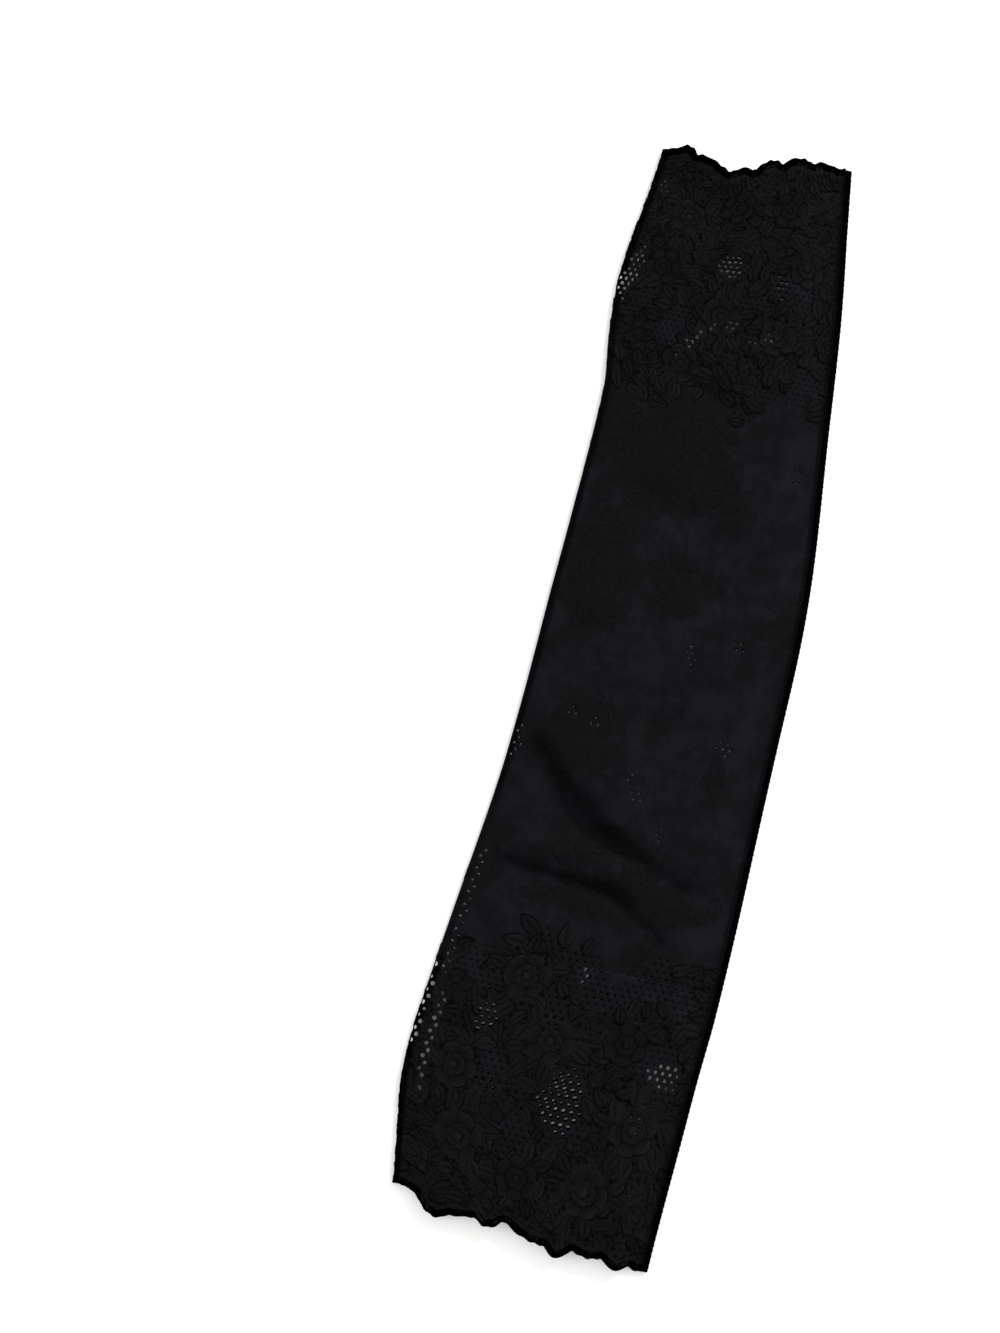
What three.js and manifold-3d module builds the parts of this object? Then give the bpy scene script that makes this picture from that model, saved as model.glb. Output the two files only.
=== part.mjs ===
// Lace arm sleeve, lying loosely on a table: one tapered piece of lace folded along the left,
// seamed along the right, with a corded scalloped border round each mouth.
// Millimetres, +Z up. +Y runs from the upper arm to the wrist, +X from the fold to the seam,
// and the sleeve rests on z = 0 with the middle of its box at the origin.

import * as THREE from "three";
import { mergeVertices } from "three/addons/utils/BufferGeometryUtils.js";
import Module from "manifold-3d";

// Driving dimensions.
const HEM_TO_HEM = 435;      // straight distance between the two hem lines
const BOX_CENTRE_X = -0.61;  // from the sleeve's axis to the middle of its box
const BOX_CENTRE_Y = 215.6;  // from the arm hem's line to the middle of its box
const LACE_THICKNESS = 1.0;
const BORDER_THICKNESS = 1.3;
const BORDER_WIDTH = 2.6;    // from the hem's edge in to the lace
const SEAM_WIDTH = 2.4;
const SEAM_HEIGHT = 3.0;
const FOLD_HEIGHT = 4.0;     // outside height where the lace turns round the fold
const SHOULDER = 17;         // distance from either side over which the upper layer rises
const CLEARANCE = 0.3;       // between neighbouring pieces
const NET_BAR = 1.1;         // thread left standing between two holes of the open net
const UNDER_LAYER_INSET = 1.0;
const INSET_START = 0.1;     // share of the width over which the under layer's inset grows
const CREST_FLATNESS = 0.75; // a scallop's crest is a half wave raised to this power
const SEAM_SOFTNESS = 0.7;   // bevel of the seam's four long edges
const BORDER_THINNING = 0.25; // share of its thickness that the border loses on each face at its sides
const CREASE_FADE = 2;       // a crease dies out past its ends over this many of its half widths
const SLOPE_STEP = 0.5;      // distance over which the upper layer's slope is taken

// Fineness of the surfaces.
const UPPER_COLUMNS = 21;
const FOLD_COLUMNS = 4;
const UNDER_COLUMNS = 8;
const LACE_ROWS = 40;
const BORDER_SPLIT = 3;      // border columns to each column of the lace
const BORDER_ROWS = 2;
const SEAM_ROWS = 24;

// Cross-sections from the arm to the wrist: the two sides from the axis, and the height of the middle.
const SECTIONS = [
  { along: -12, left: -53.0, right: 52.5, crown: 7.8 },
  { along: 5, left: -54.2, right: 53.0, crown: 8.0 },
  { along: 22, left: -56.5, right: 53.7, crown: 8.2 },
  { along: 50, left: -60.2, right: 55.0, crown: 8.6 },
  { along: 71, left: -59.4, right: 55.9, crown: 8.6 },
  { along: 96, left: -56.7, right: 57.4, crown: 8.5 },
  { along: 130, left: -52.6, right: 58.2, crown: 8.9 },
  { along: 172, left: -47.6, right: 58.4, crown: 9.0 },
  { along: 205, left: -45.3, right: 58.6, crown: 9.0 },
  { along: 250, left: -43.4, right: 59.0, crown: 8.7 },
  { along: 282, left: -41.8, right: 57.4, crown: 8.5 },
  { along: 334, left: -40.1, right: 51.9, crown: 8.3 },
  { along: 356, left: -42.7, right: 49.7, crown: 8.2 },
  { along: 378, left: -43.6, right: 47.3, crown: 8.2 },
  { along: 396, left: -41.8, right: 44.8, crown: 8.1 },
  { along: 414, left: -39.1, right: 42.0, crown: 7.9 },
  { along: 447, left: -35.8, right: 37.2, crown: 7.7 },
];

// Scallops of each hem from the fold to the seam: where each starts as a share of the width, how far
// the notch there stands from the hem's line along the sleeve, and how far the crest swells outwards.
const ARM_SCALLOPS = [
  { across: 0.000, notch: 5.9, swell: 0.0 },
  { across: 0.070, notch: 4.2, swell: 4.7 },
  { across: 0.215, notch: -1.3, swell: 0.6 },
  { across: 0.316, notch: -0.3, swell: 3.1 },
  { across: 0.420, notch: -0.1, swell: 0.0 },
  { across: 0.447, notch: -0.4, swell: 1.6 },
  { across: 0.600, notch: -5.6, swell: 4.1 },
  { across: 0.713, notch: -4.8, swell: 1.8 },
  { across: 0.830, notch: -5.4, swell: 3.1 },
  { across: 0.942, notch: -6.9, swell: 0.5 },
  { across: 1.000, notch: -8.0, swell: 0.0 },
];
const WRIST_SCALLOPS = [
  { across: 0.000, notch: -2.4, swell: 0.2 },
  { across: 0.045, notch: -1.5, swell: 2.7 },
  { across: 0.165, notch: -2.4, swell: 0.5 },
  { across: 0.250, notch: -2.6, swell: 0.0 },
  { across: 0.365, notch: -6.4, swell: 1.2 },
  { across: 0.475, notch: -3.5, swell: 0.2 },
  { across: 0.500, notch: -2.9, swell: 2.6 },
  { across: 0.635, notch: 1.1, swell: 2.5 },
  { across: 0.805, notch: 3.8, swell: 1.4 },
  { across: 0.945, notch: 4.4, swell: 0.3 },
  { across: 1.000, notch: 5.0, swell: 0.0 },
];

// Wrinkles of the upper layer, each a soft straight crease between two places: width is the crease's
// half width and rise its height, below zero for a valley.
const WRINKLES = [
  { fromX: -33, fromY: 189, toX: -12, toY: 167, width: 6, rise: -1.3 },
  { fromX: -12, fromY: 167, toX: 3, toY: 157, width: 6, rise: -1.3 },
  { fromX: 3, fromY: 157, toX: 36, toY: 146, width: 6, rise: -1.1 },
  { fromX: -17, fromY: 213, toX: 8, toY: 178, width: 8, rise: 1.0 },
  { fromX: -34, fromY: 152, toX: 2, toY: 150, width: 6, rise: 1.1 },
  { fromX: -36, fromY: 143, toX: 6, toY: 137, width: 5, rise: -1.2 },
  { fromX: 6, fromY: 137, toX: 30, toY: 123, width: 5, rise: -1.1 },
  { fromX: 6, fromY: 130, toX: 42, toY: 116, width: 7, rise: 1.1 },
  { fromX: -38, fromY: 88, toX: -18, toY: 30, width: 8, rise: 1.0 },
  { fromX: 20, fromY: 95, toX: 30, toY: 20, width: 10, rise: 0.8 },
  { fromX: -22, fromY: 250, toX: 26, toY: 236, width: 8, rise: 0.9 },
  { fromX: -16, fromY: 300, toX: 30, toY: 284, width: 9, rise: -0.9 },
  { fromX: -24, fromY: 356, toX: 6, toY: 340, width: 7, rise: -0.9 },
  { fromX: -22, fromY: 392, toX: 16, toY: 404, width: 8, rise: 0.8 },
];

// Open-net windows between the flowers: an oval patch of holes each, cut through both layers.
const NET_WINDOWS = [
  { x: 4.3, y: 53.4, halfAcross: 7.4, halfAlong: 12.6, pitch: 3.5 },
  { x: 42.0, y: 69.8, halfAcross: 6.4, halfAlong: 4.4, pitch: 3.3 },
  { x: -32.2, y: 79.4, halfAcross: 3.4, halfAlong: 4.8, pitch: 3.3 },
  { x: -48.4, y: 74.0, halfAcross: 1.2, halfAlong: 15.0, pitch: 3.8 },
  { x: -36.0, y: 380.6, halfAcross: 1.4, halfAlong: 8.0, pitch: 3.2 },
  { x: -1.0, y: 392.9, halfAcross: 3.4, halfAlong: 3.4, pitch: 2.9 },
];
const NET_HOLE_SIDES = 6;
const NET_CUT_HEIGHT = 30;
const NET_REACH = 6;             // most holes on each side of a window's middle
const ROW_PITCH_SHARE = 0.866;   // rows of a close-packed net stand this share of the pitch apart

const LACE_BLACK = new THREE.MeshStandardMaterial({ color: 0x161618, roughness: 0.82, metalness: 0 });
const CORD_BLACK = new THREE.MeshStandardMaterial({ color: 0x0c0c0d, roughness: 0.7, metalness: 0 });
const SEAM_BLACK = new THREE.MeshStandardMaterial({ color: 0x0e0e10, roughness: 0.75, metalness: 0 });

const { lerp, smoothstep } = THREE.MathUtils;

// A section's size at a place along the sleeve: cubic pieces through the table's rows, with the slope
// at each row taken from its two neighbours.
function sectionSize(key, along) {
  const last = SECTIONS.length - 1;
  let row = SECTIONS.findIndex((section) => section.along >= along) - 1;
  if (row < -1) row = last - 1;
  row = THREE.MathUtils.clamp(row, 0, last - 1);
  const slope = (index) => {
    const before = SECTIONS[Math.max(index - 1, 0)];
    const after = SECTIONS[Math.min(index + 1, last)];
    return (after[key] - before[key]) / (after.along - before.along);
  };
  const start = SECTIONS[row];
  const end = SECTIONS[row + 1];
  const span = end.along - start.along;
  const t = (along - start.along) / span;
  return (
    start[key] * (2 * t ** 3 - 3 * t ** 2 + 1) +
    slope(row) * span * (t ** 3 - 2 * t ** 2 + t) +
    end[key] * (3 * t ** 2 - 2 * t ** 3) +
    slope(row + 1) * span * (t ** 3 - t ** 2)
  );
}

// How far a hem stands from its straight line, at a share of the width: the notches joined by straight
// chords, with each crest a flattened half wave beyond its chord. Outwards is -1 at the arm, +1 at the wrist.
function scallopLine(scallops, outwards, across) {
  let index = scallops.findIndex((scallop) => scallop.across > across) - 1;
  if (index < 0) index = scallops.length - 2;
  const start = scallops[index];
  const end = scallops[index + 1];
  const t = (across - start.across) / (end.across - start.across);
  const crest = Math.sin(Math.PI * THREE.MathUtils.clamp(t, 0, 1)) ** CREST_FLATNESS;
  return lerp(start.notch, end.notch, t) + outwards * start.swell * crest;
}

const HEMS = {
  arm: { along: 0, scallops: ARM_SCALLOPS, inwards: 1 },
  wrist: { along: HEM_TO_HEM, scallops: WRIST_SCALLOPS, inwards: -1 },
};

// The hem's edge along the sleeve at one column. The under layer stands a little inside the upper one.
function hemEdge(hem, column) {
  const scallop = scallopLine(hem.scallops, -hem.inwards, column.across);
  const inset = column.layer === "under" ? UNDER_LAYER_INSET * smoothstep(column.across, 0, INSET_START) : 0;
  return hem.along + scallop + hem.inwards * inset;
}

// Columns round the sleeve, from the seam over the upper layer, round the fold and back underneath.
function columnsRound(split) {
  const columns = [];
  const upper = UPPER_COLUMNS * split;
  const under = UNDER_COLUMNS * split;
  for (let step = 0; step <= upper; step++) {
    columns.push({ layer: "upper", across: 1 - step / upper });
  }
  for (let step = 1; step < FOLD_COLUMNS; step++) {
    columns.push({ layer: "fold", across: 0, turn: Math.PI * (0.5 + step / FOLD_COLUMNS) });
  }
  for (let step = 0; step <= under; step++) {
    columns.push({ layer: "under", across: step / under });
  }
  return columns;
}

// The hem's edge as the lace follows it: straight from one coarse column to the next, so that the
// lace and the finer border keep an even gap between them.
function laceHemEdge(hem, column) {
  if (column.layer === "fold") return hemEdge(hem, column);
  const count = column.layer === "upper" ? UPPER_COLUMNS : UNDER_COLUMNS;
  const low = Math.min(Math.floor(column.across * count + 1e-6), count - 1);
  const share = column.across * count - low;
  const edge = (step) => hemEdge(hem, { layer: column.layer, across: step / count });
  return lerp(edge(low), edge(low + 1), share);
}

// Height that the wrinkles add to the upper layer at a place on the sleeve.
function wrinkleHeight(x, y) {
  let height = 0;
  for (const wrinkle of WRINKLES) {
    const alongX = wrinkle.toX - wrinkle.fromX;
    const alongY = wrinkle.toY - wrinkle.fromY;
    const length = Math.hypot(alongX, alongY);
    const along = ((x - wrinkle.fromX) * alongX + (y - wrinkle.fromY) * alongY) / length;
    const across = ((x - wrinkle.fromX) * alongY - (y - wrinkle.fromY) * alongX) / length;
    const beyond = Math.max(-along, along - length, 0) / CREASE_FADE;
    height += wrinkle.rise * Math.exp(-((across / wrinkle.width) ** 2) - (beyond / wrinkle.width) ** 2);
  }
  return height;
}

// Outside height of the upper layer: it rises from the fold and from the seam over a soft shoulder
// each to the crown, and carries the wrinkles where it is clear of both sides.
function upperHeight(x, y, foldX, seamX) {
  const crown = sectionSize("crown", y);
  const fromFold = smoothstep(x - foldX, 0, SHOULDER);
  const fromSeam = smoothstep(seamX - x, 0, SHOULDER);
  const rise = (crown - FOLD_HEIGHT) * fromFold - (crown - SEAM_HEIGHT) * (1 - fromSeam);
  return FOLD_HEIGHT + rise + wrinkleHeight(x, y) * fromFold * fromSeam;
}

// A point on the sleeve's outside and the direction straight out of the cloth there, within its section.
function outsideAt(column, y) {
  const radius = FOLD_HEIGHT / 2;
  const foldX = sectionSize("left", y) + radius;
  const seamX = sectionSize("right", y) - SEAM_WIDTH - CLEARANCE;
  if (column.layer === "fold") {
    const out = new THREE.Vector3(Math.cos(column.turn), 0, Math.sin(column.turn));
    return { point: new THREE.Vector3(foldX + radius * out.x, y, radius + radius * out.z), out };
  }
  const x = lerp(foldX, seamX, column.across);
  if (column.layer === "under") {
    return { point: new THREE.Vector3(x, y, 0), out: new THREE.Vector3(0, 0, -1) };
  }
  const z = upperHeight(x, y, foldX, seamX);
  const inner = THREE.MathUtils.clamp(x, foldX + SLOPE_STEP, seamX - SLOPE_STEP);
  const before = upperHeight(inner - SLOPE_STEP, y, foldX, seamX);
  const after = upperHeight(inner + SLOPE_STEP, y, foldX, seamX);
  const slope = (after - before) / (2 * SLOPE_STEP);
  return { point: new THREE.Vector3(x, y, z), out: new THREE.Vector3(-slope, 0, 1).normalize() };
}

// A sheet of cloth carried round the sleeve as one closed solid: a grid of outside points and the
// matching inside points, joined along all four edges. rowAlong gives a column's place at each row,
// and depth how far the outside face sinks and the inside face stands in, at that row.
function clothShell(columns, rows, rowAlong, depth) {
  const positions = [];
  for (const column of columns) {
    for (let row = 0; row <= rows; row++) {
      const { point, out } = outsideAt(column, rowAlong(column, row / rows));
      for (const sink of depth(row / rows)) {
        positions.push(...point.clone().addScaledVector(out, -sink).toArray());
      }
    }
  }
  const corner = (column, row, side) => (column * (rows + 1) + row) * 2 + side;
  const faces = [];
  const quad = (a, b, c, d) => faces.push(a, b, c, a, c, d);
  const lastColumn = columns.length - 1;
  for (let column = 0; column < lastColumn; column++) {
    const right = column + 1;
    for (let row = 0; row < rows; row++) {
      const above = row + 1;
      quad(corner(column, row, 0), corner(column, above, 0), corner(right, above, 0), corner(right, row, 0));
      quad(corner(column, row, 1), corner(right, row, 1), corner(right, above, 1), corner(column, above, 1));
    }
    quad(corner(column, 0, 0), corner(right, 0, 0), corner(right, 0, 1), corner(column, 0, 1));
    quad(corner(column, rows, 0), corner(column, rows, 1), corner(right, rows, 1), corner(right, rows, 0));
  }
  for (let row = 0; row < rows; row++) {
    const above = row + 1;
    quad(corner(0, row, 0), corner(0, row, 1), corner(0, above, 1), corner(0, above, 0));
    quad(
      corner(lastColumn, row, 0),
      corner(lastColumn, above, 0),
      corner(lastColumn, above, 1),
      corner(lastColumn, row, 1),
    );
  }
  const geometry = new THREE.BufferGeometry();
  geometry.setAttribute("position", new THREE.Float32BufferAttribute(positions, 3));
  geometry.setIndex(faces);
  return geometry;
}

// The lace: an even wall from one border to the other.
function laceShell() {
  const reach = BORDER_WIDTH + CLEARANCE;
  const rowAlong = (column, share) =>
    lerp(laceHemEdge(HEMS.arm, column) + reach, laceHemEdge(HEMS.wrist, column) - reach, share);
  return clothShell(columnsRound(1), LACE_ROWS, rowAlong, () => [0, LACE_THICKNESS]);
}

// A corded border: from the scalloped edge in to the lace, thickest along its middle.
function scallopBorder(hem) {
  const rowAlong = (column, share) => {
    const edge = hemEdge(hem, column);
    const inside = laceHemEdge(hem, column) + hem.inwards * BORDER_WIDTH;
    return hem.inwards > 0 ? lerp(edge, inside, share) : lerp(inside, edge, share);
  };
  const depth = (share) => {
    const thinning = BORDER_THINNING * BORDER_THICKNESS * (2 * share - 1) ** 2;
    return [thinning, BORDER_THICKNESS - thinning];
  };
  return clothShell(columnsRound(BORDER_SPLIT), BORDER_ROWS, rowAlong, depth);
}

// The overlocked seam: a rounded bar of eight sides along the right-hand side, from hem to hem.
function seamBar() {
  const half = SEAM_WIDTH / 2;
  const flat = half - SEAM_SOFTNESS;
  const low = SEAM_SOFTNESS;
  const high = SEAM_HEIGHT - SEAM_SOFTNESS;
  const outline = [
    [-flat, 0], [flat, 0], [half, low], [half, high],
    [flat, SEAM_HEIGHT], [-flat, SEAM_HEIGHT], [-half, high], [-half, low],
  ];
  const seamColumn = { layer: "upper", across: 1 };
  const start = hemEdge(HEMS.arm, seamColumn);
  const end = hemEdge(HEMS.wrist, seamColumn);
  const positions = [];
  const faces = [];
  for (let row = 0; row <= SEAM_ROWS; row++) {
    const y = lerp(start, end, row / SEAM_ROWS);
    const middle = sectionSize("right", y) - half;
    for (const [x, z] of outline) positions.push(middle + x, y, z);
  }
  const sides = outline.length;
  for (let row = 0; row < SEAM_ROWS; row++) {
    for (let side = 0; side < sides; side++) {
      const a = row * sides + side;
      const b = row * sides + ((side + 1) % sides);
      faces.push(a, a + sides, b + sides, a, b + sides, b);
    }
  }
  const top = SEAM_ROWS * sides;
  for (let side = 1; side < sides - 1; side++) {
    faces.push(0, side, side + 1, top, top + side + 1, top + side);
  }
  const geometry = new THREE.BufferGeometry();
  geometry.setAttribute("position", new THREE.Float32BufferAttribute(positions, 3));
  geometry.setIndex(faces);
  return geometry;
}

// Centres of a window's holes: rows of a close-packed net, kept inside the oval.
function netHoles(window) {
  const holes = [];
  const rowPitch = window.pitch * ROW_PITCH_SHARE;
  const rows = Math.floor(window.halfAlong / rowPitch);
  for (let row = -rows; row <= rows; row++) {
    const shift = row % 2 === 0 ? 0 : window.pitch / 2;
    for (let step = -NET_REACH; step <= NET_REACH; step++) {
      const x = step * window.pitch + shift;
      const y = row * rowPitch;
      const inside = (x / window.halfAcross) ** 2 + (y / window.halfAlong) ** 2 <= 1;
      if (inside) holes.push({ x: window.x + x, y: window.y + y, radius: (window.pitch - NET_BAR) / 2 });
    }
  }
  return holes;
}

const wasm = await Module();
wasm.setup();

function toSolid(geometry) {
  const bare = new THREE.BufferGeometry();
  bare.setAttribute("position", geometry.getAttribute("position"));
  bare.setIndex(geometry.getIndex());
  const merged = mergeVertices(bare, 1e-4);
  return new wasm.Manifold(
    new wasm.Mesh({
      numProp: 3,
      vertProperties: new Float32Array(merged.getAttribute("position").array),
      triVerts: new Uint32Array(merged.getIndex().array),
    }),
  );
}

function toGeometry(solid) {
  const mesh = solid.getMesh();
  const geometry = new THREE.BufferGeometry();
  geometry.setAttribute("position", new THREE.Float32BufferAttribute(mesh.vertProperties, 3));
  geometry.setIndex(new THREE.Uint32BufferAttribute(mesh.triVerts, 1));
  return geometry;
}

// The lace with its net windows cut straight down through both layers.
function piercedLace() {
  let lace = toSolid(laceShell());
  for (const window of NET_WINDOWS) {
    for (const hole of netHoles(window)) {
      const prism = new THREE.CylinderGeometry(hole.radius, hole.radius, NET_CUT_HEIGHT, NET_HOLE_SIDES);
      prism.rotateX(Math.PI / 2);
      prism.translate(hole.x, hole.y, 0);
      lace = lace.subtract(toSolid(prism));
    }
  }
  return toGeometry(lace);
}

function piece(name, geometry, material) {
  geometry.computeVertexNormals();
  const mesh = new THREE.Mesh(geometry, material);
  mesh.name = name;
  return mesh;
}

const sleeve = new THREE.Group();
sleeve.name = "lace_arm_sleeve";
sleeve.add(
  piece("lace_panel", piercedLace(), LACE_BLACK),
  piece("wrist_scallop_edge", scallopBorder(HEMS.wrist), CORD_BLACK),
  piece("arm_scallop_edge", scallopBorder(HEMS.arm), CORD_BLACK),
  piece("side_seam", seamBar(), SEAM_BLACK),
);
sleeve.position.set(-BOX_CENTRE_X, -BOX_CENTRE_Y, 0);

export default sleeve;
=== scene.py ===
"""A black stretch-lace arm sleeve lying flat on a pale table, seen from straight above.

The sleeve is one tapered piece of floral lace, folded on the left and overlocked along the right,
with a corded scalloped border round each mouth. The lace is modelled as the machine knits it: a
lattice of six-sided meshes, open in the net windows, part closed in the ground and filled in the
flowers, with an outline thread laid round each petal and leaf. Lengths are in millimetres until a
mesh is made, and metres from there on.
"""

import logging
import math
from dataclasses import dataclass, field
from enum import Enum
from functools import cached_property

import bpy
import numpy as np
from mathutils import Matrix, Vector


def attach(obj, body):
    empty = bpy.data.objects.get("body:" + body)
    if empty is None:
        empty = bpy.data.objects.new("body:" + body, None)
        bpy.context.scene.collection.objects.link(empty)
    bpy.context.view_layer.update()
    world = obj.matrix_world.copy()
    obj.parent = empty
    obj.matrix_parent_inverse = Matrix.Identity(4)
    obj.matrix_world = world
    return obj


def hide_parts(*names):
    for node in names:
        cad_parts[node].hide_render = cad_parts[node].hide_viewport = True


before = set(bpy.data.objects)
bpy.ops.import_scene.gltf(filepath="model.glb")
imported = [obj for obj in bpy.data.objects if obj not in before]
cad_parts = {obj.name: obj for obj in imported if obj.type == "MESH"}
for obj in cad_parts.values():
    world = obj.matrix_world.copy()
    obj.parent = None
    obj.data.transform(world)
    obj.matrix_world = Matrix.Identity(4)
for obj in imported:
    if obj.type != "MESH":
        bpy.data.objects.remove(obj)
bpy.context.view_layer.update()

LOG = logging.getLogger("lace_sleeve")
MM = 0.001
BLACK = (0.0, 0.0, 0.0, 1.0)
WHITE = (1.0, 1.0, 1.0, 1.0)
TINY = 1e-12
KEY_STEPS = 1000
KEY_SPAN = 10_000_000
Array = np.ndarray
Socket = bpy.types.NodeSocket
Material = bpy.types.Material
Tree = bpy.types.NodeTree
Piece = bpy.types.Object


class Layer(Enum):
    """The two layers of the flattened sleeve."""

    UPPER = "upper"
    UNDER = "under"


class Hem(Enum):
    """The two mouths of the sleeve."""

    ARM = "arm"
    WRIST = "wrist"

    @property
    def inwards(self) -> float:
        """Which way along the sleeve the lace lies from this hem."""
        return 1.0 if self is Hem.ARM else -1.0


class Motif(Enum):
    """The figures of the lace."""

    ROSE = "rose"
    BLOSSOM = "blossom"
    LEAF = "leaf"


def smooth_step(value: Array, low: float, high: float) -> Array:
    """Eases from 0 at low to 1 at high: 3t^2 - 2t^3, with t the share of the way."""
    share = np.clip((value - low) / (high - low), 0.0, 1.0)
    return share * share * (3.0 - 2.0 * share)


def smooth_through(places: Array, values: Array, at: Array) -> Array:
    """Follows a table in cubic pieces, with each row's slope that of its neighbours' chord.

    Args:
        places, values: where each row stands, rising, and what it says.
        at: where the value is wanted.

    Returns:
        The value at each place.
    """
    last = len(places) - 1
    before = np.maximum(np.arange(last + 1) - 1, 0)
    after = np.minimum(np.arange(last + 1) + 1, last)
    slopes = (values[after] - values[before]) / (places[after] - places[before])
    row = np.clip(np.searchsorted(places, at) - 1, 0, last - 1)
    span = places[row + 1] - places[row]
    t = (at - places[row]) / span
    return (
        values[row] * (2 * t**3 - 3 * t**2 + 1)
        + slopes[row] * span * (t**3 - 2 * t**2 + t)
        + values[row + 1] * (3 * t**2 - 2 * t**3)
        + slopes[row + 1] * span * (t**3 - t**2)
    )


@dataclass(frozen=True)
class Wave:
    """A wave over the lace whose crests may lean and wander.

    Its height is size * sin(place / length + other / lean + wander + start), with place along the
    wave, other across it, and wander = bend * sin(other / bend_length).
    """

    length: float
    size: float = 1.0
    bend: float = 0.0
    bend_length: float = 1.0
    lean: float = math.inf
    start: float = 0.0

    def at(self, place: Array, other: Array | float = 0.0) -> Array:
        """The wave's height at each place."""
        wander = self.bend * np.sin(other / self.bend_length)
        return self.size * np.sin(place / self.length + other / self.lean + wander + self.start)


def ragged_distance(u: Array, v: Array, lobes: tuple, phases: tuple[float, ...]) -> Array:
    """Distance from an oval's middle, 1 on its ragged edge.

    Args:
        u, v: places as shares of the oval's two half sizes.
        lobes: pairs of how many waves run round the edge and their share of the radius.
        phases: the phase of each pair's waves.

    Returns:
        r * (1 + the sum of share * sin(n * angle + phase)) at each place.
    """
    angle = np.arctan2(v, u)
    waves = (share * np.sin(n * angle + phase) for (n, share), phase in zip(lobes, phases))
    return np.hypot(u, v) * (1 + sum(waves))


def rounded_power(value: Array, power: float) -> Array:
    """The value's size raised to a power, with its sign kept."""
    return np.sign(value) * np.abs(value) ** power


@dataclass(frozen=True)
class Section:
    """One cross-section: its place from the arm hem, its two sides and the height of its middle."""

    along: float
    left: float
    right: float
    crown: float


@dataclass(frozen=True)
class Scallop:
    """One scallop of a hem: where it starts across the width, its notch, and its crest's swell."""

    across: float
    notch: float
    swell: float


@dataclass(frozen=True)
class Wrinkle:
    """One soft straight crease of the upper layer.

    Its rise is below zero for a valley, and its shade says how strongly painted shade darkens the
    lace along the bottom line of a valley.
    """

    from_x: float
    from_y: float
    to_x: float
    to_y: float
    width: float
    rise: float
    shade: float = 0.0


@dataclass(frozen=True)
class Patch:
    """An oval stretch of the lace, in millimetres from the sleeve's axis and arm hem."""

    x: float
    y: float
    half_across: float
    half_along: float


@dataclass(frozen=True)
class Window(Patch):
    """An open patch of net between the flowers.

    Its holes' radius is in units of the net's pitch, and its lean says how far its middle line
    moves to the right for each millimetre along the sleeve.
    """

    hole: float
    lean: float = 0.0


SECTIONS = tuple(Section(*row) for row in (
    (-12, -53.0, 52.5, 7.8),
    (5, -54.2, 53.0, 8.0),
    (22, -56.5, 53.7, 8.2),
    (50, -60.2, 55.0, 8.6),
    (71, -59.4, 55.9, 8.6),
    (96, -56.7, 57.4, 8.5),
    (130, -52.6, 58.2, 8.9),
    (172, -47.6, 58.4, 9.0),
    (205, -45.3, 58.6, 9.0),
    (250, -43.4, 59.0, 8.7),
    (282, -41.8, 57.4, 8.5),
    (334, -40.1, 51.9, 8.3),
    (356, -42.7, 49.7, 8.2),
    (378, -43.6, 47.3, 8.2),
    (396, -41.8, 44.8, 8.1),
    (414, -39.1, 42.0, 7.9),
    (447, -35.8, 37.2, 7.7),
))

SCALLOPS = {
    Hem.ARM: (
        Scallop(0.0, 5.9, 0.0),
        Scallop(0.07, 4.2, 4.7),
        Scallop(0.215, -1.3, 0.6),
        Scallop(0.316, -0.3, 3.1),
        Scallop(0.42, -0.1, 0.0),
        Scallop(0.447, -0.4, 1.6),
        Scallop(0.6, -5.6, 4.1),
        Scallop(0.713, -4.8, 1.8),
        Scallop(0.83, -5.4, 3.1),
        Scallop(0.942, -6.9, 0.5),
        Scallop(1.0, -8.0, 0.0),
    ),
    Hem.WRIST: (
        Scallop(0.0, -2.4, 0.2),
        Scallop(0.045, -1.5, 2.7),
        Scallop(0.165, -2.4, 0.5),
        Scallop(0.25, -2.6, 0.0),
        Scallop(0.365, -6.4, 1.2),
        Scallop(0.475, -3.5, 0.2),
        Scallop(0.5, -2.9, 2.6),
        Scallop(0.635, 1.1, 2.5),
        Scallop(0.805, 3.8, 1.4),
        Scallop(0.945, 4.4, 0.3),
        Scallop(1.0, 5.0, 0.0),
    ),
}

# Each crease: from x, y, to x, y, width, rise, and the painted shade on its bottom line.
WRINKLES = tuple(Wrinkle(*row) for row in (
    (-33, 189, -12, 167, 6, -1.3, 0.22),
    (-12, 167, 3, 157, 6, -1.3, 0.28),
    (3, 157, 36, 146, 6, -1.1, 0.1),
    (-17, 213, 8, 178, 8, 1.0),
    (-34, 152, 2, 150, 6, 1.1),
    (-36, 143, 6, 137, 5, -1.2, 0.45),
    (6, 137, 30, 123, 5, -1.1, 0.35),
    (6, 130, 42, 116, 7, 1.1),
    (-38, 88, -18, 30, 8, 1.0),
    (20, 95, 30, 20, 10, 0.8),
    (-22, 250, 26, 236, 8, 0.9),
    (-16, 300, 30, 284, 9, -0.9),
    (-24, 356, 6, 340, 7, -0.9),
    (-22, 392, 16, 404, 8, 0.8),
))


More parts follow.
